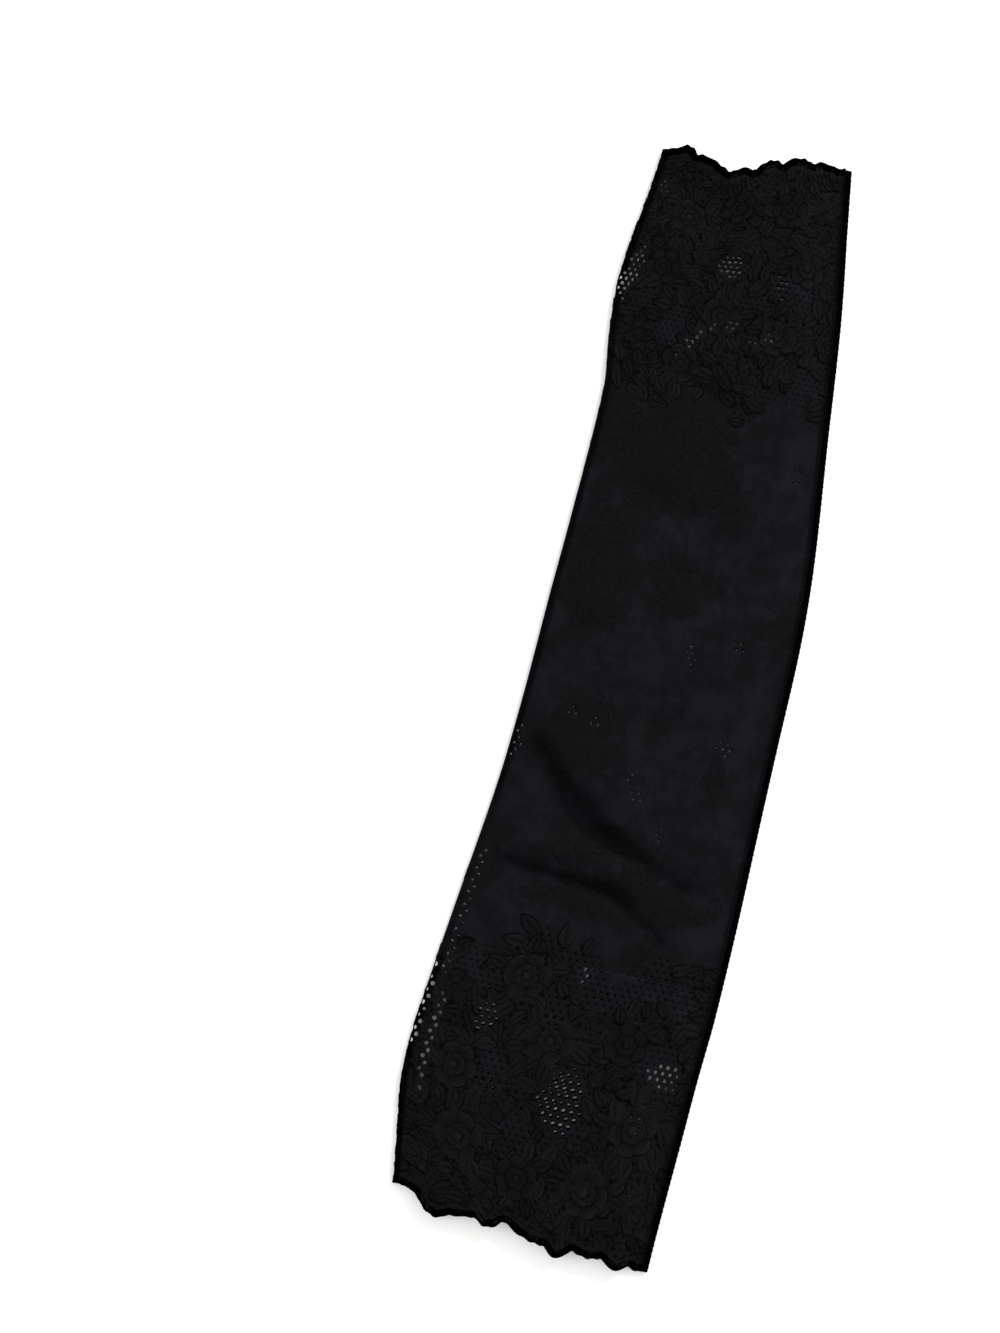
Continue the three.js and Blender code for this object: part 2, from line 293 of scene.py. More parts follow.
@dataclass(frozen=True)
class SleeveShape:
    """The form that the lace lies in: outline, hems, loft and wrinkles.

    Places are x across from the sleeve's axis, y along from the arm hem's line and z up.

    Attributes:
        hem_to_hem: distance between the hems' straight lines.
        centre_x, centre_y: the part's origin, from the sleeve's axis and arm hem.
        fold_height, seam_height: height of the cloth's outside at its sides.
        seam_width, seam_clearance: the seam's width and its gap from the lace.
        shoulder: width of the soft rise from each side.
        under_inset, inset_to: how far the under layer's hems stand inside the upper layer's, and the
            share of the width over which that grows from the fold.
        columns, fold_columns: columns of net across a layer and round the fold.
        tuck: how far the lace runs on under the seam.
        fold_bulge: how far the fold swells past its half circle.
        ripple, ripple_across, ripple_along: height and waves of the cloth's unevenness.
        crest_flatness: power that flattens a scallop's half wave.
        crease_fade: how far a crease fades past its ends, in its half widths.
        crease_sharpness: width of a crease's painted dark line, as a share of its own.
        slope_step: half the distance over which a slope is measured.
    """

    hem_to_hem: float = 435.0
    centre_x: float = -0.61
    centre_y: float = 215.6
    fold_height: float = 4.0
    seam_height: float = 3.0
    seam_width: float = 2.4
    seam_clearance: float = 0.3
    shoulder: float = 17.0
    under_inset: float = 1.0
    inset_to: float = 0.1
    columns: int = 36
    fold_columns: int = 2
    tuck: float = 0.8
    fold_bulge: float = 0.3
    ripple: float = 0.16
    ripple_across: Wave = Wave(3.7, bend=2.1, bend_length=31.0)
    ripple_along: Wave = Wave(7.3, bend=1.7, bend_length=23.0)
    crest_flatness: float = 0.75
    crease_fade: float = 2.0
    crease_sharpness: float = 0.45
    slope_step: float = 0.5

    @property
    def around(self) -> int:
        """Columns of net all the way round, from the seam back to the seam."""
        return 2 * self.columns + self.fold_columns

    def span(self, layer: Layer) -> tuple[int, int]:
        """First and last column of a layer; the two layers meet in the middle of the fold."""
        middle = self.columns + self.fold_columns // 2
        return (0, middle) if layer is Layer.UPPER else (middle, self.around)

    def size(self, name: str, y: Array) -> Array:
        """A section's size at each place along the sleeve."""
        places = np.array([section.along for section in SECTIONS], float)
        values = np.array([getattr(section, name) for section in SECTIONS], float)
        return smooth_through(places, values, np.asarray(y, float))

    def fold_x(self, y: Array) -> Array:
        """Where the flat of the lace begins, right of the rounded fold."""
        return self.size("left", y) + self.fold_height / 2

    def seam_x(self, y: Array) -> Array:
        """Where the lace meets the overlocked seam."""
        return self.size("right", y) - self.seam_width - self.seam_clearance

    def pitch(self, y: Array) -> Array:
        """Distance between two columns of net: a layer's width shared among its columns."""
        return (self.seam_x(y) - self.fold_x(y)) / self.columns

    def crease_bell(self, crease: Wrinkle, x: Array, y: Array, sharpness: float = 1.0) -> Array:
        """A bell across a crease's line, 1 on it, that fades past both its ends.

        Args:
            crease: the crease.
            x, y: places on the sleeve.
            sharpness: the bell's half width as a share of the crease's own.

        Returns:
            exp(-(across / half width)^2 - (beyond / fade)^2) at each place.
        """
        along_x = crease.to_x - crease.from_x
        along_y = crease.to_y - crease.from_y
        length = math.hypot(along_x, along_y)
        along = ((x - crease.from_x) * along_x + (y - crease.from_y) * along_y) / length
        across = ((x - crease.from_x) * along_y - (y - crease.from_y) * along_x) / length
        beyond = np.maximum(np.maximum(-along, along - length), 0.0)
        half_width = crease.width * sharpness
        return np.exp(-((across / half_width) ** 2) - (beyond / (self.crease_fade * half_width)) ** 2)

    def wrinkle_height(self, x: Array, y: Array) -> Array:
        """Height of all the creases together."""
        return sum(crease.rise * self.crease_bell(crease, x, y) for crease in WRINKLES)

    def crease_shade(self, x: Array, y: Array) -> Array:
        """Painted shade along the creases' bottom lines: how much darker the lace is painted there."""
        found = np.zeros(np.broadcast(x, y).shape)
        for crease in WRINKLES:
            bell = self.crease_bell(crease, x, y, self.crease_sharpness)
            found = np.maximum(found, crease.shade * bell)
        return found

    def upper_height(self, x: Array, y: Array) -> Array:
        """Outside height of the upper layer.

        It rises from the fold and from the seam over a soft shoulder each to the crown, and carries
        the wrinkles and a faint ripple where it is clear of both sides.
        """
        crown = self.size("crown", y)
        from_fold = smooth_step(x - self.fold_x(y), 0.0, self.shoulder)
        from_seam = smooth_step(self.seam_x(y) - x, 0.0, self.shoulder)
        rise = (crown - self.fold_height) * from_fold - (crown - self.seam_height) * (1.0 - from_seam)
        ripple = self.ripple_across.at(x, y) * self.ripple_along.at(y, x)
        folds = self.wrinkle_height(x, y) + self.ripple * ripple
        return self.fold_height + rise + folds * from_fold * from_seam

    def hem_line(self, hem: Hem, across: Array) -> Array:
        """How far a hem stands from its straight line.

        The notches are joined by chords, and each crest is a flattened half wave beyond its chord:
        chord - inwards * swell * sin(pi t)^crest_flatness.
        """
        rows = SCALLOPS[hem]
        starts = np.array([row.across for row in rows])
        notches = np.array([row.notch for row in rows])
        swells = np.array([row.swell for row in rows])
        row = np.clip(np.searchsorted(starts, across, side="right") - 1, 0, len(rows) - 2)
        t = np.clip((across - starts[row]) / (starts[row + 1] - starts[row]), 0.0, 1.0)
        chord = notches[row] * (1 - t) + notches[row + 1] * t
        return chord - hem.inwards * swells[row] * np.sin(np.pi * t) ** self.crest_flatness

    def flat_x(self, around: Array, y: Array) -> Array:
        """Place across the sleeve of each column, without the fold's roundness."""
        return self.fold_x(y) + (self.seam_x(y) - self.fold_x(y)) * self.across_of(around)

    def across_of(self, around: Array) -> Array:
        """Share of the width from the fold, 0, to the seam, 1, at each column round the sleeve."""
        upper = 1.0 - around / self.columns
        under = (around - self.columns - self.fold_columns) / self.columns
        return np.clip(np.maximum(upper, under), 0.0, 1.0)

    def hem_place(self, hem: Hem) -> float:
        """Where a hem's straight line lies along the sleeve."""
        return 0.0 if hem is Hem.ARM else self.hem_to_hem

    def hem_edge(self, hem: Hem, around: Array) -> Array:
        """The hem's edge along the sleeve; the under layer stands a little inside the upper one."""
        across = self.across_of(around)
        is_under = around > self.columns + self.fold_columns
        inset = self.under_inset * smooth_step(across, 0.0, self.inset_to) * is_under
        return self.hem_place(hem) + self.hem_line(hem, across) + hem.inwards * inset

    def outside(self, around: Array, y: Array, sink: Array | float = 0.0) -> Array:
        """Points on the outside of the cloth, or under it.

        The outside runs from the seam over the upper layer, half round the fold's circle and back flat
        underneath, and the point is moved into the cloth straight across its slope.

        Args:
            around: columns of net from the seam.
            y: place along the sleeve.
            sink: how deep under the outside the point lies.

        Returns:
            The points, one row of x, y and z each, from the sleeve's axis and arm hem.
        """
        around, y = np.broadcast_arrays(np.asarray(around, float), np.asarray(y, float))
        radius = self.fold_height / 2
        fold_x = self.fold_x(y)
        seam_x = self.seam_x(y)
        x = fold_x + (seam_x + self.tuck - fold_x) * self.across_of(around)
        step = self.slope_step
        slope = (self.upper_height(x + step, y) - self.upper_height(x - step, y)) / (2 * step)
        length = np.hypot(slope, 1.0)
        turn = np.pi * (0.5 + (around - self.columns) / self.fold_columns)
        on_fold = (around > self.columns) & (around < self.columns + self.fold_columns)
        is_upper = around <= self.columns
        out_x = np.where(is_upper, -slope / length, np.where(on_fold, np.cos(turn), 0.0))
        out_z = np.where(is_upper, 1.0 / length, np.where(on_fold, np.sin(turn), -1.0))
        x = np.where(on_fold, fold_x + (radius + self.fold_bulge) * np.cos(turn), x)
        round_z = np.where(on_fold, radius * (1 + np.sin(turn)), 0.0)
        z = np.where(is_upper, self.upper_height(x, y), round_z)
        return np.stack([x - out_x * sink, y, z - out_z * sink], axis=-1)

    def to_metres(self, points: Array) -> Array:
        """Moves points from the sleeve's axis to the part's frame, in metres."""
        return (points - np.array([self.centre_x, self.centre_y, 0.0])) * MM


SHAPE = SleeveShape()


@dataclass(frozen=True)
class NetLattice:
    """The knitted net: columns run along the sleeve and close up towards the wrist.

    A place in it is (around, row), and the rows bend near each mouth to follow its scallops.

    Attributes:
        row_share: distance between rows in the local pitch, as in a close-packed net.
        edge_inset: how far inside the hem's edge the outermost rows run.
        hem_trend_reach, scallop_reach: how far in the hem's trend and scallops are followed.
        arm_overrun, wrist_overrun: length of a row past each hem's line.
        samples: places at which the rows are counted.
        trend_samples, trend_half: places at which a hem's trend is taken, and how many of them on
            each side it is averaged over.
    """

    row_share: float = 0.866
    edge_inset: float = 1.4
    hem_trend_reach: float = 70.0
    scallop_reach: float = 16.0
    arm_overrun: float = 2.6
    wrist_overrun: float = 1.8
    samples: int = 1200
    trend_samples: int = 201
    trend_half: int = 25

    @cached_property
    def row_places(self) -> tuple[Array, Array]:
        """Places along the sleeve, and the row count reached at each: the sum of 1 / row spacing."""
        y = np.linspace(0.0, SHAPE.hem_to_hem, self.samples)
        spacing = self.row_share * SHAPE.pitch(y)
        steps = np.diff(y) / ((spacing[1:] + spacing[:-1]) / 2)
        return y, np.concatenate([[0.0], np.cumsum(steps)])

    @property
    def rows(self) -> int:
        """Whole rows of net from hem to hem."""
        return int(self.row_places[1][-1])

    def row_of(self, y: Array) -> Array:
        """Row count at a place along the sleeve."""
        places, counts = self.row_places
        return np.interp(y, places, counts)

    @cached_property
    def trends(self) -> dict[Hem, Array]:
        """Each hem's line averaged over a quarter of the width, at even places across."""
        window = 2 * self.trend_half + 1
        across = np.linspace(0.0, 1.0, self.trend_samples)
        found = {}
        for hem in Hem:
            line = np.pad(SHAPE.hem_line(hem, across), self.trend_half, mode="edge")
            found[hem] = np.convolve(line, np.ones(window) / window, mode="valid")
        return found

    def hem_trend(self, hem: Hem, across: Array) -> Array:
        """The hem's line without its scallops."""
        return np.interp(across, np.linspace(0.0, 1.0, self.trend_samples), self.trends[hem])

    def y_of(self, around: Array, row: Array) -> Array:
        """Place along the sleeve of a place in the net.

        The straight rows are moved by the hem's trend, which fades over hem_trend_reach, and by
        its scallops, which fade over scallop_reach.
        """
        places, counts = self.row_places
        total = counts[-1]
        before = np.minimum(row, 0.0) * self.arm_overrun
        beyond = np.maximum(row - total, 0.0) * self.wrist_overrun
        straight = np.interp(row, counts, places) + before + beyond
        across = SHAPE.across_of(around)
        y = straight
        for hem in Hem:
            place = SHAPE.hem_place(hem)
            distance = hem.inwards * (straight - place)
            trend = self.hem_trend(hem, across)
            edge = SHAPE.hem_edge(hem, around) + hem.inwards * self.edge_inset
            scallops = edge - place - trend
            y = y + trend * (1 - smooth_step(distance, 0.0, self.hem_trend_reach))
            y = y + scallops * (1 - smooth_step(distance, 0.0, self.scallop_reach))
        return y

    def points(self, around: Array, row: Array, sink: Array | float) -> Array:
        """Points of the cloth at places in the net, in metres."""
        return SHAPE.to_metres(SHAPE.outside(around, self.y_of(around, row), sink))


NET = NetLattice()


def link_object(name: str, data: bpy.types.ID) -> Piece:
    """Puts a mesh, light or camera in the scene as an object."""
    made = bpy.data.objects.new(name, data)
    bpy.context.scene.collection.objects.link(made)
    return made


def new_object(
    name: str, points: Array, faces: Array, material: Material, flat_from: int | None = None
) -> Piece:
    """Makes a smooth-shaded mesh object from whole arrays.

    Args:
        name: the piece's name.
        points: x, y and z of each vertex, in metres.
        faces: three vertex numbers for each triangle, facing outwards.
        material: what it is dressed in.
        flat_from: the first face of those shaded flat, which come last, or None for none.

    Returns:
        The new object, linked to the scene.
    """
    mesh = bpy.data.meshes.new(name)
    mesh.vertices.add(len(points))
    mesh.vertices.foreach_set("co", points.astype(np.float32).ravel())
    mesh.loops.add(faces.size)
    mesh.loops.foreach_set("vertex_index", faces.astype(np.int32).ravel())
    mesh.polygons.add(len(faces))
    mesh.polygons.foreach_set("loop_start", np.arange(0, faces.size, 3, dtype=np.int32))
    smooth = np.ones(len(faces), bool)
    smooth[flat_from if flat_from is not None else len(faces):] = False
    mesh.polygons.foreach_set("use_smooth", smooth)
    mesh.update(calc_edges=True)
    mesh.materials.append(material)
    return link_object(name, mesh)


def add_uv(piece: Piece, places: Array) -> None:
    """Lays a UV map on a piece from one (u, v) row for each vertex."""
    mesh = piece.data
    corner = np.empty(len(mesh.loops), np.int32)
    mesh.loops.foreach_get("vertex_index", corner)
    mesh.uv_layers.new(name="net").data.foreach_set("uv", places[corner].astype(np.float32).ravel())


def add_value(piece: Piece, name: str, values: Array) -> None:
    """Stores one number for each vertex, for the material to read."""
    attribute = piece.data.attributes.new(name, "FLOAT", "POINT")
    attribute.data.foreach_set("value", values.astype(np.float32))


def tube_faces(steps: int, sides: int, closed: bool) -> Array:
    """Triangles of a tube: rings of vertices joined in order, the last to the first if it is closed.

    The vertices run ring by ring, and an open tube's ends are capped by fans.
    """
    rows = np.arange(steps if closed else steps - 1)[:, None] * sides
    side = np.arange(sides)[None, :]
    here = (rows + side).ravel()
    turn = (rows + (side + 1) % sides).ravel()
    ahead = (here + sides) % (steps * sides)
    ahead_turn = (turn + sides) % (steps * sides)
    parts = [np.stack([here, turn, ahead_turn], 1), np.stack([here, ahead_turn, ahead], 1)]
    if not closed:
        fan = np.arange(1, sides - 1)
        last = (steps - 1) * sides
        parts.append(np.stack([np.zeros_like(fan), fan + 1, fan], 1))
        parts.append(np.stack([np.full_like(fan, last), last + fan, last + fan + 1], 1))
    return np.concatenate(parts)


def add_tube_uv(piece: Piece, steps: int, sides: int, along: Array) -> None:
    """Lays a tube's UV map: the share of the way round it, and each ring's length along it."""
    around = np.tile(np.arange(sides) / sides, steps)
    add_uv(piece, np.stack([around, np.repeat(along, sides)], axis=1))


def unit(vectors: Array) -> Array:
    """The vectors, one a row, each at length 1."""
    return vectors / np.maximum(np.linalg.norm(vectors, axis=1, keepdims=True), TINY)


@dataclass
class Tubes:
    """Threads gathered into one mesh: a round profile carried along each path.

    Attributes:
        sides: how many sides the profile has.
        end_taper: radius of an open thread's two end rings, as a share of its own.
        points, faces, along, painted_shade: what each thread added so far, the last the painted shade
            of the lace under it.
        count: how many vertices there are so far.
    """

    sides: int = 5
    end_taper: float = 0.15
    points: list[Array] = field(default_factory=list)
    faces: list[Array] = field(default_factory=list)
    along: list[Array] = field(default_factory=list)
    painted_shade: list[Array] = field(default_factory=list)
    count: int = 0

    def add(
        self, path: Array, out: Array, radius: Array | float, closed: bool, painted_shade: Array | float = 0.0
    ) -> None:
        """Adds one thread.

        Each ring stands square to the path: point + r (out cos a + side sin a), where side is the
        path's direction crossed with out. An open thread's end rings shrink to points.

        Args:
            path: x, y and z for each step, in metres.
            out: the direction out of the cloth at each step.
            radius: the thread's radius, one value or one for each step.
            closed: whether the last step joins the first.
            painted_shade: the painted shade of the lace under the thread, one value or one for each
                step.
        """
        steps = len(path)
        radius = np.broadcast_to(np.asarray(radius, float), (steps,)).copy()
        if closed:
            direction = np.roll(path, -1, axis=0) - np.roll(path, 1, axis=0)
        else:
            direction = np.gradient(path, axis=0)
            radius[[0, -1]] *= self.end_taper
        direction = unit(direction)
        side = unit(np.cross(direction, out))
        square = np.cross(side, direction)
        angle = (np.arange(self.sides) * 2 * np.pi / self.sides)[None, :, None]
        ring = square[:, None, :] * np.cos(angle) + side[:, None, :] * np.sin(angle)
        points = path[:, None, :] + ring * radius[:, None, None]
        length = np.concatenate([[0.0], np.cumsum(np.linalg.norm(np.diff(path, axis=0), axis=1))])
        self.points.append(points.reshape(-1, 3))
        self.faces.append(tube_faces(steps, self.sides, closed) + self.count)
        self.along.append(length)
        self.painted_shade.append(np.repeat(np.broadcast_to(np.asarray(painted_shade, float), (steps,)), self.sides))
        self.count += steps * self.sides

    def make(self, name: str, material: Material) -> Piece:
        """Makes the gathered threads one piece, with its length along each thread as a UV map."""
        points = np.concatenate(self.points)
        piece = new_object(name, points, np.concatenate(self.faces), material)
        add_tube_uv(piece, len(points) // self.sides, self.sides, np.concatenate(self.along) / MM)
        # The painted shade under each thread, which the lace material reads.
        add_value(piece, "painted_shade", np.concatenate(self.painted_shade))
        return piece


@dataclass(frozen=True)
class FlowerForm:
    """How a flower is drawn, in shares of its radius.

    Attributes:
        cleft, bulge: radius of the petals' edge in the clefts, and how much further its tips stand.
        roundness: power that rounds the petals' tips.
        inner, heart: radius of the inner petals and of the dome, in relief.
        heart_thread: radius of the thread round the dome.
        rose_cleft_to, blossom_cleft_to: where the threads in the clefts end.
        floor, cup_rise, cup_power, cleft_low: heights of the cupped petals.
        cleft_power, ray_height, rays: the clefts' sharpness, and the rays on a petal.
        petal_steps, dome_steps, cleft_steps: places on the threads.
    """

    cleft: float = 0.80
    bulge: float = 0.20
    roundness: float = 0.6
    inner: float = 0.52
    heart: float = 0.18
    heart_thread: float = 0.17
    rose_cleft_to: float = 0.56
    blossom_cleft_to: float = 0.30
    floor: float = 0.15
    cup_rise: float = 0.75
    cup_power: float = 1.3
    cleft_low: float = 0.45
    cleft_power: float = 0.5
    ray_height: float = 0.10
    rays: int = 5
    petal_steps: int = 12
    dome_steps: int = 12
    cleft_steps: int = 5


@dataclass(frozen=True)
class LeafForm:
    """How a leaf is drawn, in shares of its length.

    Attributes:
        half_width, fullness: its half width, and the power that shapes its outline.
        teeth, tooth_step: depth of its teeth, and how closely they stand.
        floor, side_rise: height of its midrib, and how far its sides rise.
        rib_height, rib_step, rib_slant: its slanted ribs.
        midrib: where the thread on its midrib starts and ends.
        side_steps, midrib_steps: places on the threads.
    """

    half_width: float = 0.27
    fullness: float = 0.8
    teeth: float = 0.06
    tooth_step: float = 44.0
    floor: float = 0.35
    side_rise: float = 0.45
    rib_height: float = 0.16
    rib_step: float = 40.0
    rib_slant: float = 5.0
    midrib: tuple[float, float] = (0.02, 0.86)
    side_steps: int = 14
    midrib_steps: int = 9


FLOWER = FlowerForm()
LEAF = LeafForm()
MEAN_TONE = 0.8
TONE_WAVE = Wave(1 / 12.9, 0.2, lean=1 / 7.8)
THINNEST = 1e-3


@dataclass(frozen=True)
class Figure:
    """One figure of the lace, placed in units of the net's pitch.

    Attributes:
        kind: which figure.
        p: columns from the seam.
        q: pitches from the arm hem.
        size: a flower's radius or a leaf's length.
        turn: its angle, in radians.
        closeness: how closely it is worked, up to 1.
    """

    kind: Motif
    p: float
    q: float
    size: float
    turn: float
    closeness: float = 1.0

    @property
    def tone(self) -> float:
        """How high the figure is worked: from 0.6 to 1, changing from place to place."""
        return MEAN_TONE + TONE_WAVE.at(self.p, self.q)

    @property
    def petals(self) -> int:
        """How many petals a flower has."""
        return 6 if self.kind is Motif.ROSE else 5

    def local(self, p: Array, q: Array) -> tuple[Array, Array]:
        """Distances from the figure's middle, or along and across a leaf, as shares of its size."""
        dp = (p - self.p) / self.size
        dq = (q - self.q) / self.size
        cos, sin = math.cos(self.turn), math.sin(self.turn)
        return dp * cos + dq * sin, dq * cos - dp * sin

    def petal_edge(self, angle: Array) -> Array:
        """Radius of the petals' edge: least in the clefts, 1 on the petals' tips."""
        tip = np.abs(np.cos(angle * self.petals / 2)) ** FLOWER.roundness
        return FLOWER.cleft + FLOWER.bulge * tip

    def leaf_half(self, u: Array) -> Array:
        """Half width of a leaf: widest a third of the way up, drawn to a point at each end."""
        safe = np.clip(u, 0.0, 1.0)
        smooth = LEAF.half_width * np.sin(np.pi * safe**LEAF.fullness) ** LEAF.fullness
        return smooth * (1.0 + LEAF.teeth * np.sin(safe * LEAF.tooth_step))

    def inside(self, p: Array, q: Array) -> Array:
        """How far inside the figure each place is: above zero inside, in shares of its size."""
        u, v = self.local(p, q)
        if self.kind is Motif.LEAF:
            return self.leaf_half(u) - np.abs(v)
        return self.petal_edge(np.arctan2(v, u)) - np.hypot(u, v)

    def relief(self, p: Array, q: Array) -> Array:
        """Height of the figure's own modelling, from 0 to 1.

        A flower has an outer and an inner ring of cupped petals round a dome, each petal ribbed
        with rays and parted from the next by a cleft; a leaf rises from its midrib in slanted ribs.
        """
        u, v = self.local(p, q)
        if self.kind is Motif.LEAF:
            share = np.abs(v) / np.maximum(self.leaf_half(u), THINNEST)
            ribs = LEAF.rib_height * np.sin(u * LEAF.rib_step - share * LEAF.rib_slant)
            sides = LEAF.side_rise * np.sqrt(np.clip(share, 0, 1))
            return np.clip(LEAF.floor + sides + ribs, 0.0, 1.0)
        radius = np.hypot(u, v)
        angle = np.arctan2(v, u)
        edge = self.petal_edge(angle)
        inner = FLOWER.inner * edge
        outer_cup = (radius - inner) / np.maximum(edge - inner, THINNEST)
        inner_cup = (radius - FLOWER.heart) / np.maximum(inner - FLOWER.heart, THINNEST)
        cup = np.where(radius > inner, outer_cup, np.where(radius > FLOWER.heart, inner_cup, 1.0))
        cup = np.clip(cup, 0.0, 1.0)
        shift = np.where(radius > inner, 0.0, np.pi / self.petals)
        cleft = np.abs(np.cos((angle + shift) * self.petals / 2)) ** FLOWER.cleft_power
        parted = FLOWER.cleft_low + (1.0 - FLOWER.cleft_low) * cleft
        rays = FLOWER.ray_height * np.cos(angle * self.petals * FLOWER.rays)
        petals = FLOWER.cup_rise * cup**FLOWER.cup_power * parted
        return np.clip(FLOWER.floor + petals + rays * cup, 0.0, 1.0)

    def outlines(self) -> list[tuple[Array, Array, bool]]:
        """The outline threads: each a list of places in the net and whether it closes on itself."""
        if self.kind is Motif.LEAF:
            steps = LEAF.side_steps
            u = np.concatenate([np.linspace(0.0, 1.0, steps), np.linspace(1.0, 0.0, steps)[1:-1]])
            sign = np.where(np.arange(len(u)) < steps, 1.0, -1.0)
            rib = np.linspace(*LEAF.midrib, LEAF.midrib_steps)
            curves = [(u, sign * self.leaf_half(u), True), (rib, 0.0 * rib, False)]
        else:
            curves = self.flower_curves()
        cos, sin = math.cos(self.turn), math.sin(self.turn)
        return [
            (self.p + self.size * (u * cos - v * sin), self.q + self.size * (u * sin + v * cos), closed)
            for u, v, closed in curves
        ]

    def flower_curves(self) -> list[tuple[Array, Array, bool]]:
        """A flower's outlines before it is turned: its petals, its dome and the clefts."""
        angle = np.linspace(0.0, 2 * np.pi, FLOWER.petal_steps * self.petals + 1)[:-1]
        dome = np.linspace(0.0, 2 * np.pi, FLOWER.dome_steps + 1)[:-1]
        rings = [(self.petal_edge(angle), angle), (FLOWER.heart_thread, dome)]
        cleft_to = FLOWER.blossom_cleft_to
        if self.kind is Motif.ROSE:
            rings.append((FLOWER.inner * self.petal_edge(angle + np.pi / self.petals), angle))
            cleft_to = FLOWER.rose_cleft_to
        curves = [(radius * np.cos(turn), radius * np.sin(turn), True) for radius, turn in rings]
        reach = np.linspace(FLOWER.cleft, cleft_to, FLOWER.cleft_steps)
        for petal in range(self.petals):
            cleft = 2 * np.pi * (petal + 0.5) / self.petals
            curves.append((reach * math.cos(cleft), reach * math.sin(cleft), False))
        return curves


# Column, pitches from the hem, radius and turn of each flower in a band.
ROSES = (
    (19.1, 25.1, 3.2, 0.2),
    (5.8, 16.3, 3.1, 0.7),
    (30.2, 19.5, 3.0, 0.1),
    (28.3, 10.7, 3.3, 0.9),
    (9.6, 26.6, 2.9, 0.4),
    (10.3, 8.1, 3.3, 0.0),
    (19.8, 7.2, 3.0, 0.5),
    (24.6, 32.8, 3.1, 0.8),
    (3.4, 33.0, 2.9, 0.3),
)

BLOSSOMS = (
    (2.5, 6.4, 2.2, 0.3),
    (14.6, 4.2, 1.9, 0.8),
    (34.0, 6.0, 2.0, 0.1),
    (24.0, 15.6, 2.2, 0.6),
    (33.2, 29.4, 2.3, 0.2),
    (14.0, 33.6, 2.3, 1.0),
    (24.2, 22.8, 1.8, 0.5),
    (10.2, 13.6, 1.8, 0.0),
    (0.9, 26.9, 1.8, 0.9),
    (14.4, 27.8, 1.6, 0.3),
    (24.2, 3.6, 1.7, 0.2),
    (34.6, 14.6, 1.8, 0.7),
)

# Plain net in the bands, with no flowers.
BARE_PATCHES = tuple(Patch(*row) for row in (
    (-25.4, 65, 8, 9.5),
    (-13.4, 33, 6, 12),
    (11.4, 38.6, 5.5, 6),
    (40, 75, 10, 10),
    (14, 56, 4.5, 8),
    (24, 102, 28, 11),
    (-40, 97, 9, 6),
    (-27, 371, 6, 6.5),
    (-17.5, 362, 6, 5.5),
    (25.5, 389, 9, 6),
    (39, 338, 9, 18),
))

# Close-worked petals between the bands.
FLOWER_PATCHES = tuple(Patch(*row) for row in (
    (-21, 197, 12, 17),
    (10, 262, 13, 11),
    (50, 256, 5, 11),
    (0, 157, 18, 8),
    (18, 136, 26, 11),
    (-12, 132, 12, 6),
    (30, 112, 22, 7),
    (10, 205, 5, 7),
    (-11, 322, 34, 33),
    (-26, 262, 15, 24),
    (38, 186, 5, 7),
    (-44, 138, 5, 12),
))

# The windows in the net, which lie over each other in the two layers.
WINDOWS = tuple(Window(*row) for row in (
    (4.3, 53.4, 8.2, 12.6, 0.27),
    (42.0, 69.8, 7.4, 5.6, 0.23),
    (-32.2, 79.4, 4.4, 5.8, 0.27),
    (-52.2, 66.0, 1.6, 24.0, 0.26),
    (-58.0, 77.0, 1.6, 18.0, 0.26),
    (-49.4, 122.0, 2.0, 29.0, 0.19),
    (-42.9, 189.0, 1.8, 8.0, 0.19),
    (3.1, 103.5, 1.8, 4.0, 0.27),
    (-25.4, 55.9, 6.6, 5.6, 0.17),
    (36.0, 50.6, 4.6, 4.0, 0.18),
    (-5.0, 84.0, 4.0, 3.4, 0.16),
    (12.0, 96.0, 4.4, 3.6, 0.16),
    (-39.6, 380.6, 3.4, 11.6, 0.26, 0.26),
    (-1.0, 392.9, 4.6, 4.8, 0.28),
    (20.7, 387.4, 2.6, 4.6, 0.26),
    (-10.7, 359.0, 1.6, 2.6, 0.28),
    (-7.4, 363.7, 2.0, 2.2, 0.28),
    (-3.0, 367.3, 1.6, 1.8, 0.28),
    (4.2, 369.0, 2.4, 2.4, 0.26),
    (14.6, 363.9, 2.2, 2.2, 0.27),
    (19.1, 366.4, 2.6, 2.4, 0.27),
    (-14.0, 355.0, 2.0, 2.2, 0.2),
    (-33.0, 419.0, 2.2, 2.8, 0.2),
    (37.0, 202.9, 3.6, 3.0, 0.21),
    (3.4, 183.1, 1.8, 3.2, 0.2),
    (8.4, 176.8, 3.4, 2.6, 0.2),
    (19.6, 165.0, 2.0, 3.8, 0.2),
    (-24.0, 205.4, 2.2, 3.0, 0.21),
    (-14.0, 203.4, 2.4, 2.4, 0.2),
    (16.0, 237.0, 2.4, 4.2, 0.18),
    (34.0, 243.4, 4.0, 2.0, 0.18),
    (42.0, 315.0, 2.6, 3.4, 0.18),
))


